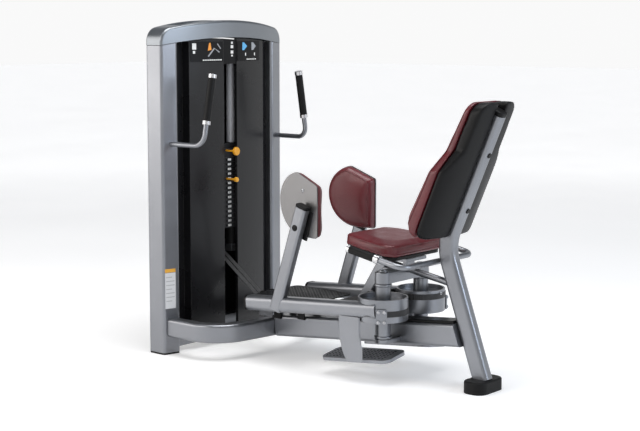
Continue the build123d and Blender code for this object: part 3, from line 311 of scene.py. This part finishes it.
def finish_cad_nodes():
    """Gives every CAD node the full version of its record material, or one of its own."""
    for row in frame["record"]["subparts"]:
        piece = nodes[row["node"]]
        for holder in piece.material_slots:
            holder.material = NODE_MATERIALS.get(row["node"], MATERIALS[row["material_slot"]])


# ---------------------------------------------------------------- pieces
def place_piece(name, mesh, material, body, smooth=True):
    """New visible piece that rides on a body."""
    piece = bpy.data.objects.new(name, mesh)
    scene.collection.objects.link(piece)
    mesh.materials.clear()
    mesh.materials.append(material)
    if smooth:
        mesh.shade_smooth()
    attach(piece, body)
    return piece


def with_modifiers(piece):
    """Mesh of a piece with its modifiers applied."""
    depsgraph = bpy.context.evaluated_depsgraph_get()
    return bpy.data.meshes.new_from_object(piece.evaluated_get(depsgraph))


def bake_modifiers(piece):
    """Applies a piece's modifiers to its own mesh."""
    mesh = with_modifiers(piece)
    piece.modifiers.clear()
    piece.data = mesh


def lathe(profile, centre, axis, steps=32):
    """Mesh turned from (radius, height) points about an axis through a centre."""
    shape = bmesh.new()
    turn = Vector((0, 0, 1)).rotation_difference(Vector(axis)).to_matrix()
    rings = []
    for radius, height in profile:
        ring = []
        for step in range(steps):
            angle = 2 * pi * step / steps
            corner = Vector((radius * cos(angle), radius * sin(angle), height))
            ring.append(shape.verts.new(Vector(centre) + turn @ corner))
        rings.append(ring)
    for lower, upper in zip(rings, rings[1:]):
        for step in range(steps):
            following = (step + 1) % steps
            shape.faces.new((lower[step], lower[following], upper[following], upper[step]))
    shape.faces.new(list(reversed(rings[0])))
    shape.faces.new(rings[-1])
    return shape


def as_mesh(shape, name):
    """Mesh data from a bmesh."""
    mesh = bpy.data.meshes.new(name)
    bmesh.ops.recalc_face_normals(shape, faces=shape.faces)
    shape.to_mesh(mesh)
    shape.free()
    return mesh


def button_bolt(name, body, centre, axis, radius=0.007):
    """Button-head screw with a round socket."""
    dome = [(radius, 0.0), (radius, 0.0012), (radius * 0.93, radius * 0.38), (radius * 0.72, radius * 0.58),
            (radius * 0.48, radius * 0.64), (radius * 0.42, radius * 0.62), (radius * 0.40, radius * 0.2)]
    mesh = as_mesh(lathe(dome, centre, axis, 24), name)
    piece = place_piece(name, mesh, MATERIALS["steel"], body)
    mesh.set_sharp_from_angle(angle=radians(40))
    return piece


# ---------------------------------------------------------------- upholstery
def copy_of(node, name):
    """Free copy of a CAD node's mesh."""
    piece = bpy.data.objects.new(name, nodes[node].data.copy())
    scene.collection.objects.link(piece)
    return piece


def remeshed(piece, voxel, smoothing, iterations):
    """Even mesh of a piece, with its edges softened."""
    remesh = piece.modifiers.new("even", "REMESH")
    remesh.mode = "VOXEL"
    remesh.voxel_size = voxel
    soften = piece.modifiers.new("soften", "SMOOTH")
    soften.factor = smoothing
    soften.iterations = iterations
    bake_modifiers(piece)


def shrink(piece, distance):
    """Moves every point inwards along its normal."""
    mesh = piece.data
    moves = [vertex.normal.copy() for vertex in mesh.vertices]
    for vertex, normal in zip(mesh.vertices, moves):
        vertex.co -= normal * distance


def inflate(piece, most, held):
    """Cloth simulation under pressure; held(point) says which points stay, most caps the other moves."""
    mesh = piece.data
    start = [vertex.co.copy() for vertex in mesh.vertices]
    group = piece.vertex_groups.new(name="held")
    fixed = [number for number, point in enumerate(start) if held(point)]
    group.add(fixed, 1.0, "REPLACE")
    cloth = piece.modifiers.new("cloth", "CLOTH")
    settings = cloth.settings
    settings.quality = 5
    settings.mass = 0.4
    settings.tension_stiffness = 25
    settings.compression_stiffness = 25
    settings.shear_stiffness = 15
    settings.bending_stiffness = 4
    settings.use_pressure = True
    settings.uniform_pressure_force = CUSHION_PRESSURE
    settings.effector_weights.gravity = 0
    if fixed:
        settings.vertex_group_mass = group.name
    for number in range(1, LAST_CLOTH_FRAME + 1):
        scene.frame_set(number)
    swollen = with_modifiers(piece)
    for vertex, origin, target in zip(mesh.vertices, start, swollen.vertices):
        move = target.co - origin
        if move.length > most:
            move.length = most
        vertex.co = origin + move
    piece.modifiers.clear()
    piece.vertex_groups.clear()
    scene.frame_set(1)


def cut_loop(mesh, point, normal):
    """Points in order round the outline where a plane cuts a closed mesh."""
    shape = bmesh.new()
    shape.from_mesh(mesh)
    parts = shape.verts[:] + shape.edges[:] + shape.faces[:]
    cut = bmesh.ops.bisect_plane(shape, geom=parts, plane_co=point, plane_no=normal)["geom_cut"]
    edges = {item for item in cut if isinstance(item, bmesh.types.BMEdge)}
    longest = []
    while edges:
        first = edges.pop()
        loop = [first.verts[0], first.verts[1]]
        growing = True
        while growing:
            onward = [edge for edge in loop[-1].link_edges if edge in edges]
            growing = bool(onward)
            if growing:
                edges.remove(onward[0])
                loop.append(onward[0].other_vert(loop[-1]))
        if len(loop) > len(longest):
            longest = loop
    points = [vertex.co.copy() for vertex in longest[:-1]]
    shape.free()
    return points


def even_loop(points, count, passes=6):
    """Closed loop resampled to a number of evenly spaced points, then smoothed."""
    lengths = [0.0]
    ring = points + points[:1]
    for first, second in zip(ring, ring[1:]):
        lengths.append(lengths[-1] + (second - first).length)
    result = []
    segment = 0
    for number in range(count):
        wanted = lengths[-1] * number / count
        while lengths[segment + 1] < wanted:
            segment += 1
        share = (wanted - lengths[segment]) / max(lengths[segment + 1] - lengths[segment], 1e-9)
        result.append(ring[segment].lerp(ring[segment + 1], share))
    for _ in range(passes):
        result = [(result[i - 1] + 2 * result[i] + result[(i + 1) % count]) / 4 for i in range(count)]
    return result


def welt(name, cushion, body, point, normal, radius=0.0022, count=260):
    """Piping sewn round a cushion, in the plane given by a point and a normal."""
    loop = even_loop(cut_loop(cushion.data, point, normal), count)
    centre = sum(loop, Vector()) / count
    shape = bmesh.new()
    sides = 8
    rings = []
    for number, place in enumerate(loop):
        along = (loop[(number + 1) % count] - loop[number - 1]).normalized()
        out = along.cross(Vector(normal)).normalized()
        if out.dot(place - centre) < 0:
            out = -out
        up = along.cross(out)
        ring = []
        for side in range(sides):
            angle = 2 * pi * side / sides
            offset = out * (radius * cos(angle) + radius * 0.35) + up * (radius * sin(angle))
            ring.append(shape.verts.new(place + offset))
        rings.append(ring)
    for number in range(count):
        ring, following = rings[number], rings[(number + 1) % count]
        for side in range(sides):
            other = (side + 1) % sides
            shape.faces.new((ring[side], ring[other], following[other], following[side]))
    return place_piece(name, as_mesh(shape, name), MATERIALS["upholstery"], body)


def upholster(node, body, held, most=0.008):
    """Padded cushion that replaces a plain CAD one."""
    cushion = copy_of(node, f"{node}_cover")
    remeshed(cushion, CUSHION_VOXEL, 0.5, 5)
    shrink(cushion, 0.004)
    inflate(cushion, most, held)
    taut = cushion.modifiers.new("taut", "SMOOTH")
    taut.factor = 0.5
    taut.iterations = 16
    finer = cushion.modifiers.new("finer", "SUBSURF")
    finer.levels = 1
    bake_modifiers(cushion)
    cushion.data.materials.clear()
    cushion.data.materials.append(MATERIALS["upholstery"])
    cushion.data.shade_smooth()
    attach(cushion, body)
    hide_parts(node)
    return cushion


def seat_cushion():
    """Seat: flat underneath, with two rows of piping round its side."""
    up = Vector((sin(SEAT_TILT), 0, cos(SEAT_TILT)))
    low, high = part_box("seat_cushion")
    middle = Vector(((low[0] + high[0]) / 2, 0, (low[2] + high[2]) / 2))
    base = min(up.dot(vertex.co) for vertex in nodes["seat_cushion"].data.vertices)
    cushion = upholster("seat_cushion", "frame", lambda p: up.dot(p) < base + 0.012)
    for number, height in enumerate((0.014, 0.044)):
        point = middle + up * (base + height - up.dot(middle))
        welt(f"seat_welt_{number + 1}", cushion, "frame", point, up)


def back_cushion():
    """Back pad: held along the shell behind it, with piping near the front edge."""
    mesh = nodes["back_cushion"].data
    slope = Vector((BACK_SLOPE[0], 0, BACK_SLOPE[1])).normalized()
    front = Vector((-slope.z, 0, slope.x))
    face = max(front.dot(vertex.co) for vertex in mesh.vertices)
    rear = min(front.dot(vertex.co) for vertex in mesh.vertices)
    cushion = upholster("back_cushion", "frame", lambda p: front.dot(p) < rear + 0.04)
    low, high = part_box("back_cushion")
    middle = Vector(((low[0] + high[0]) / 2, 0, (low[2] + high[2]) / 2))
    point = middle + front * (face - 0.018 - front.dot(middle))
    welt("back_welt", cushion, "frame", point, front, count=400)


def knee_cushions():
    """Knee pads: flat on their plates, with piping round the inner face."""
    for name, side in SIDES.items():
        node = f"{name}_knee_cushion"
        inward = Vector((sin(PAD_TOE_IN), -side * cos(PAD_TOE_IN), 0))
        mesh = nodes[node].data
        back = min(inward.dot(vertex.co) for vertex in mesh.vertices)
        face = max(inward.dot(vertex.co) for vertex in mesh.vertices)
        cushion = upholster(node, f"{name}_arm", lambda p: inward.dot(p) < back + 0.008, 0.006)
        low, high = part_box(node)
        middle = (Vector(low) + Vector(high)) / 2
        for number, depth in enumerate((back + 0.006, face - 0.010)):
            point = middle + inward * (depth - inward.dot(middle))
            welt(f"{name}_knee_welt_{number + 1}", cushion, f"{name}_arm", point, inward)


def back_shell():
    """Moulded shell with soft edges, in place of the plain CAD one."""
    shell = copy_of("back_shell", "back_shell_moulding")
    remeshed(shell, 0.006, 0.5, 14)
    shell.data.materials.clear()
    shell.data.materials.append(MATERIALS["trim_black"])
    shell.data.shade_smooth()
    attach(shell, "frame")
    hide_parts("back_shell")


# ---------------------------------------------------------------- belts
def belt_piece(name, node, keep_rear=None):
    """Copy of a belt node, cut at X = IDLER_X when only the part behind or in front of it is wanted."""
    piece = copy_of(node, name)
    if keep_rear is not None:
        shape = bmesh.new()
        shape.from_mesh(piece.data)
        parts = shape.verts[:] + shape.edges[:] + shape.faces[:]
        bmesh.ops.bisect_plane(shape, geom=parts, plane_co=(IDLER_X, 0, 0), plane_no=(1, 0, 0),
                               clear_inner=keep_rear, clear_outer=not keep_rear)
        shape.to_mesh(piece.data)
        shape.free()
    piece.data.materials.clear()
    piece.data.materials.append(MATERIALS["belt_black"])
    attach(piece, "frame")
    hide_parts(node)
    return piece


def moving_belts():
    """Belt pieces on the frame: the hanging lengths, and the arm belts cut at the idler into the turns behind
    it and the sloping lengths in front of it.
    """
    drops = belt_piece("hanging_belt_lengths", "stack_belt_drops")
    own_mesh(drops)
    belt_piece("belt_turns", "arm_belts", keep_rear=True)
    runs = belt_piece("sloping_belt_lengths", "arm_belts", keep_rear=False)
    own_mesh(runs)


# ---------------------------------------------------------------- small details
def tread(name, body, plane, columns, rows, pitch):
    """Raised lozenges on a plate, turned alternately each way; plane is (centre, along, across)."""
    origin, along, across = (Vector(item) for item in plane)
    up = along.cross(across).normalized()
    if up.z < 0:
        up = -up
    shape = bmesh.new()
    length, width, height = pitch * 0.42, pitch * 0.13, 0.0014
    for column in range(columns):
        for row in range(rows):
            centre = origin + along * pitch * (column - (columns - 1) / 2)
            centre += across * pitch * (row - (rows - 1) / 2)
            first, second = (along, across) if (column + row) % 2 else (across, along)
            outline = [first * length, second * width, -first * length, -second * width]
            foot = [shape.verts.new(centre + corner) for corner in outline]
            top = [shape.verts.new(centre + corner * 0.72 + up * height) for corner in outline]
            shape.faces.new(top)
            for number in range(4):
                following = (number + 1) % 4
                shape.faces.new((foot[number], foot[following], top[following], top[number]))
            shape.faces.new(list(reversed(foot)))
    return place_piece(name, as_mesh(shape, name), MATERIALS["trim_black"], body, False)


def thin_shape(name, points, plane, material, thickness=0.0004, body="frame"):
    """Thin flat shape: (u, v) points on a plane given as (origin, u, v)."""
    origin, u, v = (Vector(item) for item in plane)
    out = u.cross(v).normalized()
    shape = bmesh.new()
    front = [shape.verts.new(origin + u * a + v * b + out * thickness) for a, b in points]
    rear = [shape.verts.new(origin + u * a + v * b) for a, b in points]
    shape.faces.new(front)
    shape.faces.new(list(reversed(rear)))
    for number in range(len(points)):
        following = (number + 1) % len(points)
        shape.faces.new((rear[number], rear[following], front[following], front[number]))
    return place_piece(name, as_mesh(shape, name), material, body, False)


def bar(u, v):
    """Corners of a rectangle between the limits on each axis."""
    return [(u[0], v[0]), (u[1], v[0]), (u[1], v[1]), (u[0], v[1])]


def tower_front(y, setback):
    """X of the tower's bowed front line at y."""
    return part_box("tower_cap")[1][0] - setback - FRONT_BOW_R + (FRONT_BOW_R ** 2 - y ** 2) ** 0.5


def panel_print(name, ink, *outlines):
    """Printed shapes on the bowed panels, each an outline of (y, z) points no wider than the curve allows."""
    for number, points in enumerate(outlines):
        middle = sum(y for y, _ in points) / len(points)
        lean = middle / FRONT_BOW_R
        origin = (tower_front(middle, PANEL_SETBACK), middle, 0)
        plane = (origin, (-sin(lean), cos(lean), 0), (0, 0, 1))
        local = [((y - middle) / cos(lean), z) for y, z in points]
        thin_shape(f"{name}_{number + 1}", local, plane, ink)


def row_of_bars(start, end, z, count):
    """A line of short bars that stands where a line of print would be."""
    step = (end - start) / count
    return [bar((start + step * (i + 0.08), start + step * (i + 0.82)), z) for i in range(count)]


def placards():
    """Plain generic graphics on the two panels and in the head of the slot."""
    white = printed("print_white", (0.72, 0.72, 0.70))
    orange = printed("print_orange", (0.80, 0.30, 0.03))
    blue = printed("print_blue", (0.10, 0.38, 0.66))
    grey = printed("print_grey", (0.30, 0.31, 0.33))
    panel_print(
        "panel_block", white,
        bar((-0.230, -0.208), (1.368, 1.396)),
        bar((-0.226, -0.214), (1.350, 1.362)),
    )
    wedge = [(-0.142, 1.362), (-0.120, 1.366), (-0.126, 1.398), (-0.134, 1.396)]
    panel_print("panel_wedge", orange, wedge)
    panel_print(
        "panel_strokes", grey,
        [(-0.142, 1.338), (-0.137, 1.334), (-0.100, 1.371), (-0.105, 1.375)],
        [(-0.105, 1.375), (-0.100, 1.371), (-0.074, 1.352), (-0.070, 1.357)],
        [(-0.086, 1.392), (-0.082, 1.395), (-0.062, 1.372), (-0.066, 1.369)],
    )
    panel_print("panel_line", white, *row_of_bars(-0.172, -0.056, PRINT_ROW, 9))
    for name, ink, left in (("blue", blue, 0.082), ("grey", grey, 0.150)):
        notch, tip = left + 0.012, left + 0.034
        arrow = [(left, 1.362), (notch, 1.362), (tip, 1.380), (notch, 1.398), (left, 1.398)]
        panel_print(f"panel_{name}", ink, arrow)
        panel_print(f"panel_{name}_foot", white, bar((left + 0.020, left + 0.026), (1.336, 1.350)))
    panel_print("panel_second_line", white, *row_of_bars(0.112, 0.186, PRINT_ROW, 6))
    for number, (z, height) in enumerate(((1.397, 0.010), (1.379, 0.014), (1.354, 0.014), (1.338, 0.008))):
        plane = ((HEADER_X, 0.016, z), (0, 1, 0), (0, 0, 1))
        mark = bar((-0.6 * height, 0.6 * height), (-height / 2, height / 2))
        thin_shape(f"header_mark_{number + 1}", mark, plane, white)


def upright_label():
    """Blank label with a coloured band on the foot of the left upright."""
    paper = printed("label_paper", (0.66, 0.67, 0.69))
    band = printed("label_band", (0.78, 0.40, 0.05))
    inner, outer = (tower_front(-y, 0.0) for y in UPRIGHT_Y)
    across = Vector((inner - outer, UPRIGHT_Y[1] - UPRIGHT_Y[0], 0)).normalized()
    out = across.cross(Vector((0, 0, 1)))
    origin = Vector((outer, -UPRIGHT_Y[1], 0)) + out * 0.0003
    thin_shape("label_sheet", bar((0.008, 0.062), (0.210, 0.372)), (origin, across, (0, 0, 1)), paper)
    thin_shape("label_band", bar((0.008, 0.062), (0.374, 0.390)), (origin, across, (0, 0, 1)), band)
    shade = printed("label_shade", (0.42, 0.43, 0.45))
    for number in range(7):
        z = 0.350 - 0.018 * number
        end = 0.056 if number % 3 else 0.044
        thin_shape(f"label_line_{number + 1}", bar((0.013, end), (z, z + 0.004)),
                   (origin + out * 0.0004, across, (0, 0, 1)), shade, 0.0002)


def plate_numbers():
    """Pale labels with dark figures on the front edges of the plates."""
    ink = printed("number_ink", (0.02, 0.02, 0.02))
    paper = printed("number_label", (0.60, 0.60, 0.58))
    total = LIFTED_PLATES + RESTING_PLATES
    for node, body, count, lowest in (
        ("lifted_plates", "stack", LIFTED_PLATES, LIFTED_PLATES),
        ("resting_plates", "frame", RESTING_PLATES, total),
    ):
        low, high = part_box(node)
        pitch = (high[2] - low[2] + 0.0006) / count
        for level in range(count):
            index = lowest - level
            middle = low[2] + pitch * (level + 0.5)
            plane = ((high[0] + 0.0001, 0.020, middle), (0, 1, 0), (0, 0, 1))
            label = bar((-0.010, 0.010), (-0.005, 0.005))
            thin_shape(f"plate_label_{index}", label, plane, paper, 0.0003, body)
            curve = bpy.data.curves.new(f"figure_{index}", "FONT")
            curve.body = str(index * 5)
            curve.size = 0.011
            curve.align_x = "CENTER"
            curve.align_y = "CENTER"
            writing = bpy.data.objects.new("figure", curve)
            scene.collection.objects.link(writing)
            mesh = with_modifiers(writing)
            bpy.data.objects.remove(writing)
            turn = Matrix.Rotation(pi / 2, 4, "Z") @ Matrix.Rotation(pi / 2, 4, "X")
            mesh.transform(Matrix.Translation((high[0] + 0.0006, 0.020, middle)) @ turn)
            place_piece(f"plate_figure_{index}", mesh, ink, body, False)


def plug(name, body, centre, axis, radius):
    """Low domed plastic plug pressed into a hole."""
    rise = radius * 0.28
    dome = [(radius, 0.0), (radius, 0.0010), (radius * 0.92, rise * 0.7), (radius * 0.6, rise),
            (radius * 0.2, rise * 1.08)]
    mesh = as_mesh(lathe(dome, centre, axis, 28), name)
    return place_piece(name, mesh, MATERIALS["trim_black"], body)


def shaft_cover(name, centre, axis, radius):
    """Turned cover over a shaft end, with a chamfer and a shallow recess."""
    profile = [(radius, 0.0), (radius, 0.004), (radius * 0.93, 0.0065), (radius * 0.6, 0.0065),
               (radius * 0.56, 0.0035), (radius * 0.1, 0.0035)]
    mesh = as_mesh(lathe(profile, centre, axis, 40), name)
    piece = place_piece(name, mesh, MATERIALS["frame_paint"], "frame")
    piece.data.set_sharp_from_angle(angle=radians(35))
    return piece


def arm_details():
    """Screws, plugs, clamp screws and covers on the arms and their pivots."""
    for name, side in SIDES.items():
        body = f"{name}_arm"
        outward = Vector((-sin(PAD_TOE_IN), side * cos(PAD_TOE_IN), 0))
        forward = Vector((-cos(PAD_TOE_IN), -side * sin(PAD_TOE_IN), 0))
        low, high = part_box(f"{name}_knee_plate")
        rear_y = side * max(abs(low[1]), abs(high[1]))
        corner = Vector((high[0], rear_y, 0))
        centre = corner + forward * 0.090 - outward * 0.0006 + Vector((0, 0, 0.776))
        button_bolt(f"{name}_pad_screw", body, centre, outward, 0.0085)
        low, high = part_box(f"{name}_arm_post")
        face_y = high[1] if side > 0 else low[1]
        plug(f"{name}_post_plug", body, (POST_PLUG[0], face_y, POST_PLUG[1]), (0, side, 0), 0.014)
        yoke_low, yoke_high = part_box("pivot_yoke")
        shaft_y = side * PIVOT_Y
        shaft_cover(f"{name}_shaft_cover", (PIVOT_X, shaft_y, yoke_high[2] - 0.0005), (0, 0, 1), 0.019)
        for number in range(6):
            angle = pi / 6 + number * pi / 3
            centre = (PIVOT_X + 0.0255 * cos(angle), shaft_y + 0.0255 * sin(angle), yoke_high[2] - 0.0003)
            button_bolt(f"{name}_yoke_bolt_{number + 1}", "frame", centre, (0, 0, 1), 0.0046)
        clamp_screws(name, side, body)
    low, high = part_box("right_belt_drum")
    button_bolt("right_drum_bolt", "right_arm", (high[0] - 0.0003, PIVOT_Y, 0.345), (1, 0, 0), 0.0075)


def clamp_screws(name, side, body):
    """Domed screws that cover the plain heads on a belt clamp."""
    facing = Vector((cos(CLAMP_ANGLE), side * sin(CLAMP_ANGLE), 0))
    along = Vector((-facing.y, facing.x, 0))
    drum_centre = Vector((PIVOT_X, side * PIVOT_Y, CLAMP_Z))
    face = drum_centre + facing * (DRUM_R + BELT_THICK + CLAMP_THICK)
    for number, (u, v) in enumerate(((-1, -1), (-1, 1), (1, -1), (1, 1))):
        centre = face + along * (0.012 * u) + Vector((0, 0, 0.021 * v)) + facing * 0.0036
        button_bolt(f"{name}_clamp_screw_{number + 1}", body, centre, facing, 0.0072)


def hub_collar(name, body, centre, low_z, radius):
    """Turned collar round a hub, made of a band with rolled edges."""
    profile = [(radius - 0.001, 0.0), (radius + 0.0035, 0.001), (radius + 0.0045, 0.003),
               (radius + 0.0045, 0.010), (radius + 0.0035, 0.012), (radius - 0.001, 0.013)]
    shape = bmesh.new()
    steps = 56
    rings = []
    for ring_radius, height in profile:
        ring = []
        for step in range(steps):
            angle = 2 * pi * step / steps
            x = centre[0] + ring_radius * cos(angle)
            y = centre[1] + ring_radius * sin(angle)
            ring.append(shape.verts.new((x, y, low_z + height)))
        rings.append(ring)
    rings.append(rings[0])
    for lower, upper in zip(rings, rings[1:]):
        for step in range(steps):
            following = (step + 1) % steps
            shape.faces.new((lower[step], lower[following], upper[following], upper[step]))
    return place_piece(name, as_mesh(shape, name), MATERIALS["frame_paint"], body)


def pivots():
    """Collars at the ends of each hub."""
    for name, side in SIDES.items():
        low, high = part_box(f"{name}_belt_drum")
        centre = (PIVOT_X, side * PIVOT_Y)
        hub_collar(f"{name}_upper_collar", f"{name}_arm", centre, high[2] - 0.0135, HUB_R)
        hub_collar(f"{name}_lower_collar", f"{name}_arm", centre, low[2] + 0.0005, HUB_R)


def treads():
    """Lozenges on the step plate and on the two foot plates, and the mat in the tray."""
    low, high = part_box("step_plate")
    centre = ((low[0] + high[0]) / 2, 0, high[2])
    tread("step_tread", "frame", (centre, (1, 0, 0), (0, 1, 0)), 17, 15, TREAD_PITCH)
    for name, side in SIDES.items():
        up = Vector((-sin(FOOT_PITCH), side * sin(FOOT_ROLL), cos(FOOT_ROLL))).normalized()
        along = Vector((cos(FOOT_PITCH), 0, sin(FOOT_PITCH)))
        along = (along - up * along.dot(up)).normalized()
        across = up.cross(along)
        centre = Vector((FOOT_PLATE[0], side * FOOT_PLATE[1], FOOT_PLATE[2])) + up * 0.006
        plane = (centre - along * 0.01, along, across)
        tread(f"{name}_foot_tread", f"{name}_arm", plane, 17, 6, TREAD_PITCH)
    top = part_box("tower_cap")[1][2]
    mat = [(-0.797, -0.272), (-0.788, -0.282), (-0.712, -0.282), (-0.703, -0.272),
           (-0.703, 0.272), (-0.712, 0.282), (-0.788, 0.282), (-0.797, 0.272)]
    plane = ((0, 0, top - TRAY_DEPTH), (1, 0, 0), (0, 1, 0))
    thin_shape("tray_mat", mat, plane, MATERIALS["rubber_black"], 0.003, "frame")


# ---------------------------------------------------------------- stage
def sky(world):
    """White studio near the horizon, darker overhead, so that curved metal shows a light and a dark side."""
    world.use_nodes = True
    tree = world.node_tree
    place = tree.nodes.new("ShaderNodeTexCoord")
    split = tree.nodes.new("ShaderNodeSeparateXYZ")
    ramp = tree.nodes.new("ShaderNodeValToRGB")
    tree.links.new(place.outputs["Generated"], split.inputs[0])
    tree.links.new(split.outputs["Z"], ramp.inputs[0])
    tree.links.new(ramp.outputs[0], tree.nodes["Background"].inputs[0])
    stops = ramp.color_ramp.elements
    stops[0].position, stops[0].color = 0.12, (1.0, 1.0, 1.0, 1.0)
    stops[1].position, stops[1].color = 0.50, (0.16, 0.17, 0.19, 1.0)
    tree.nodes["Background"].inputs[1].default_value = 0.95


def stage():
    """Pale floor, soft lights and the camera."""
    bpy.ops.mesh.primitive_plane_add(size=80)
    floor = bpy.context.object
    floor.name = "floor"
    floor.data.materials.append(concrete_white("studio_floor"))
    world = bpy.data.worlds.new("studio")
    scene.world = world
    sky(world)
    for name, place, size, power, tint in (
        ("key", (-1.4, -5.0, 3.2), 2.4, 85, (1.0, 0.96, 0.92)),
        ("side", (-3.6, -3.4, 1.8), 3.0, 75, (1.0, 0.95, 0.90)),
        ("right", (5.0, 1.4, 2.6), 2.0, 110, (0.76, 0.86, 1.0)),
        ("top", (0.3, -0.3, 4.6), 3.0, 170, (1.0, 1.0, 1.0)),
    ):
        light = bpy.data.lights.new(name, "AREA")
        light.shape = "SQUARE"
        light.size = size
        light.energy = power
        light.color = tint
        lamp = bpy.data.objects.new(name, light)
        lamp.location = place
        lamp.rotation_euler = (Vector((0, 0, 0.7)) - Vector(place)).to_track_quat("-Z", "Y").to_euler()
        scene.collection.objects.link(lamp)
    camera = bpy.data.cameras.new("camera")
    camera.sensor_width = 36.0
    camera.lens = 80.0
    camera.shift_y = -0.0625
    viewer = bpy.data.objects.new("camera", camera)
    viewer.location = CAMERA_PLACE
    viewer.rotation_euler = CAMERA_TURN
    scene.collection.objects.link(viewer)
    scene.camera = viewer
    scene.view_settings.view_transform = "Standard"


finish_cad_nodes()
seat_cushion()
back_cushion()
knee_cushions()
back_shell()
moving_belts()
arm_details()
pivots()
treads()
placards()
upright_label()
plate_numbers()
stage()
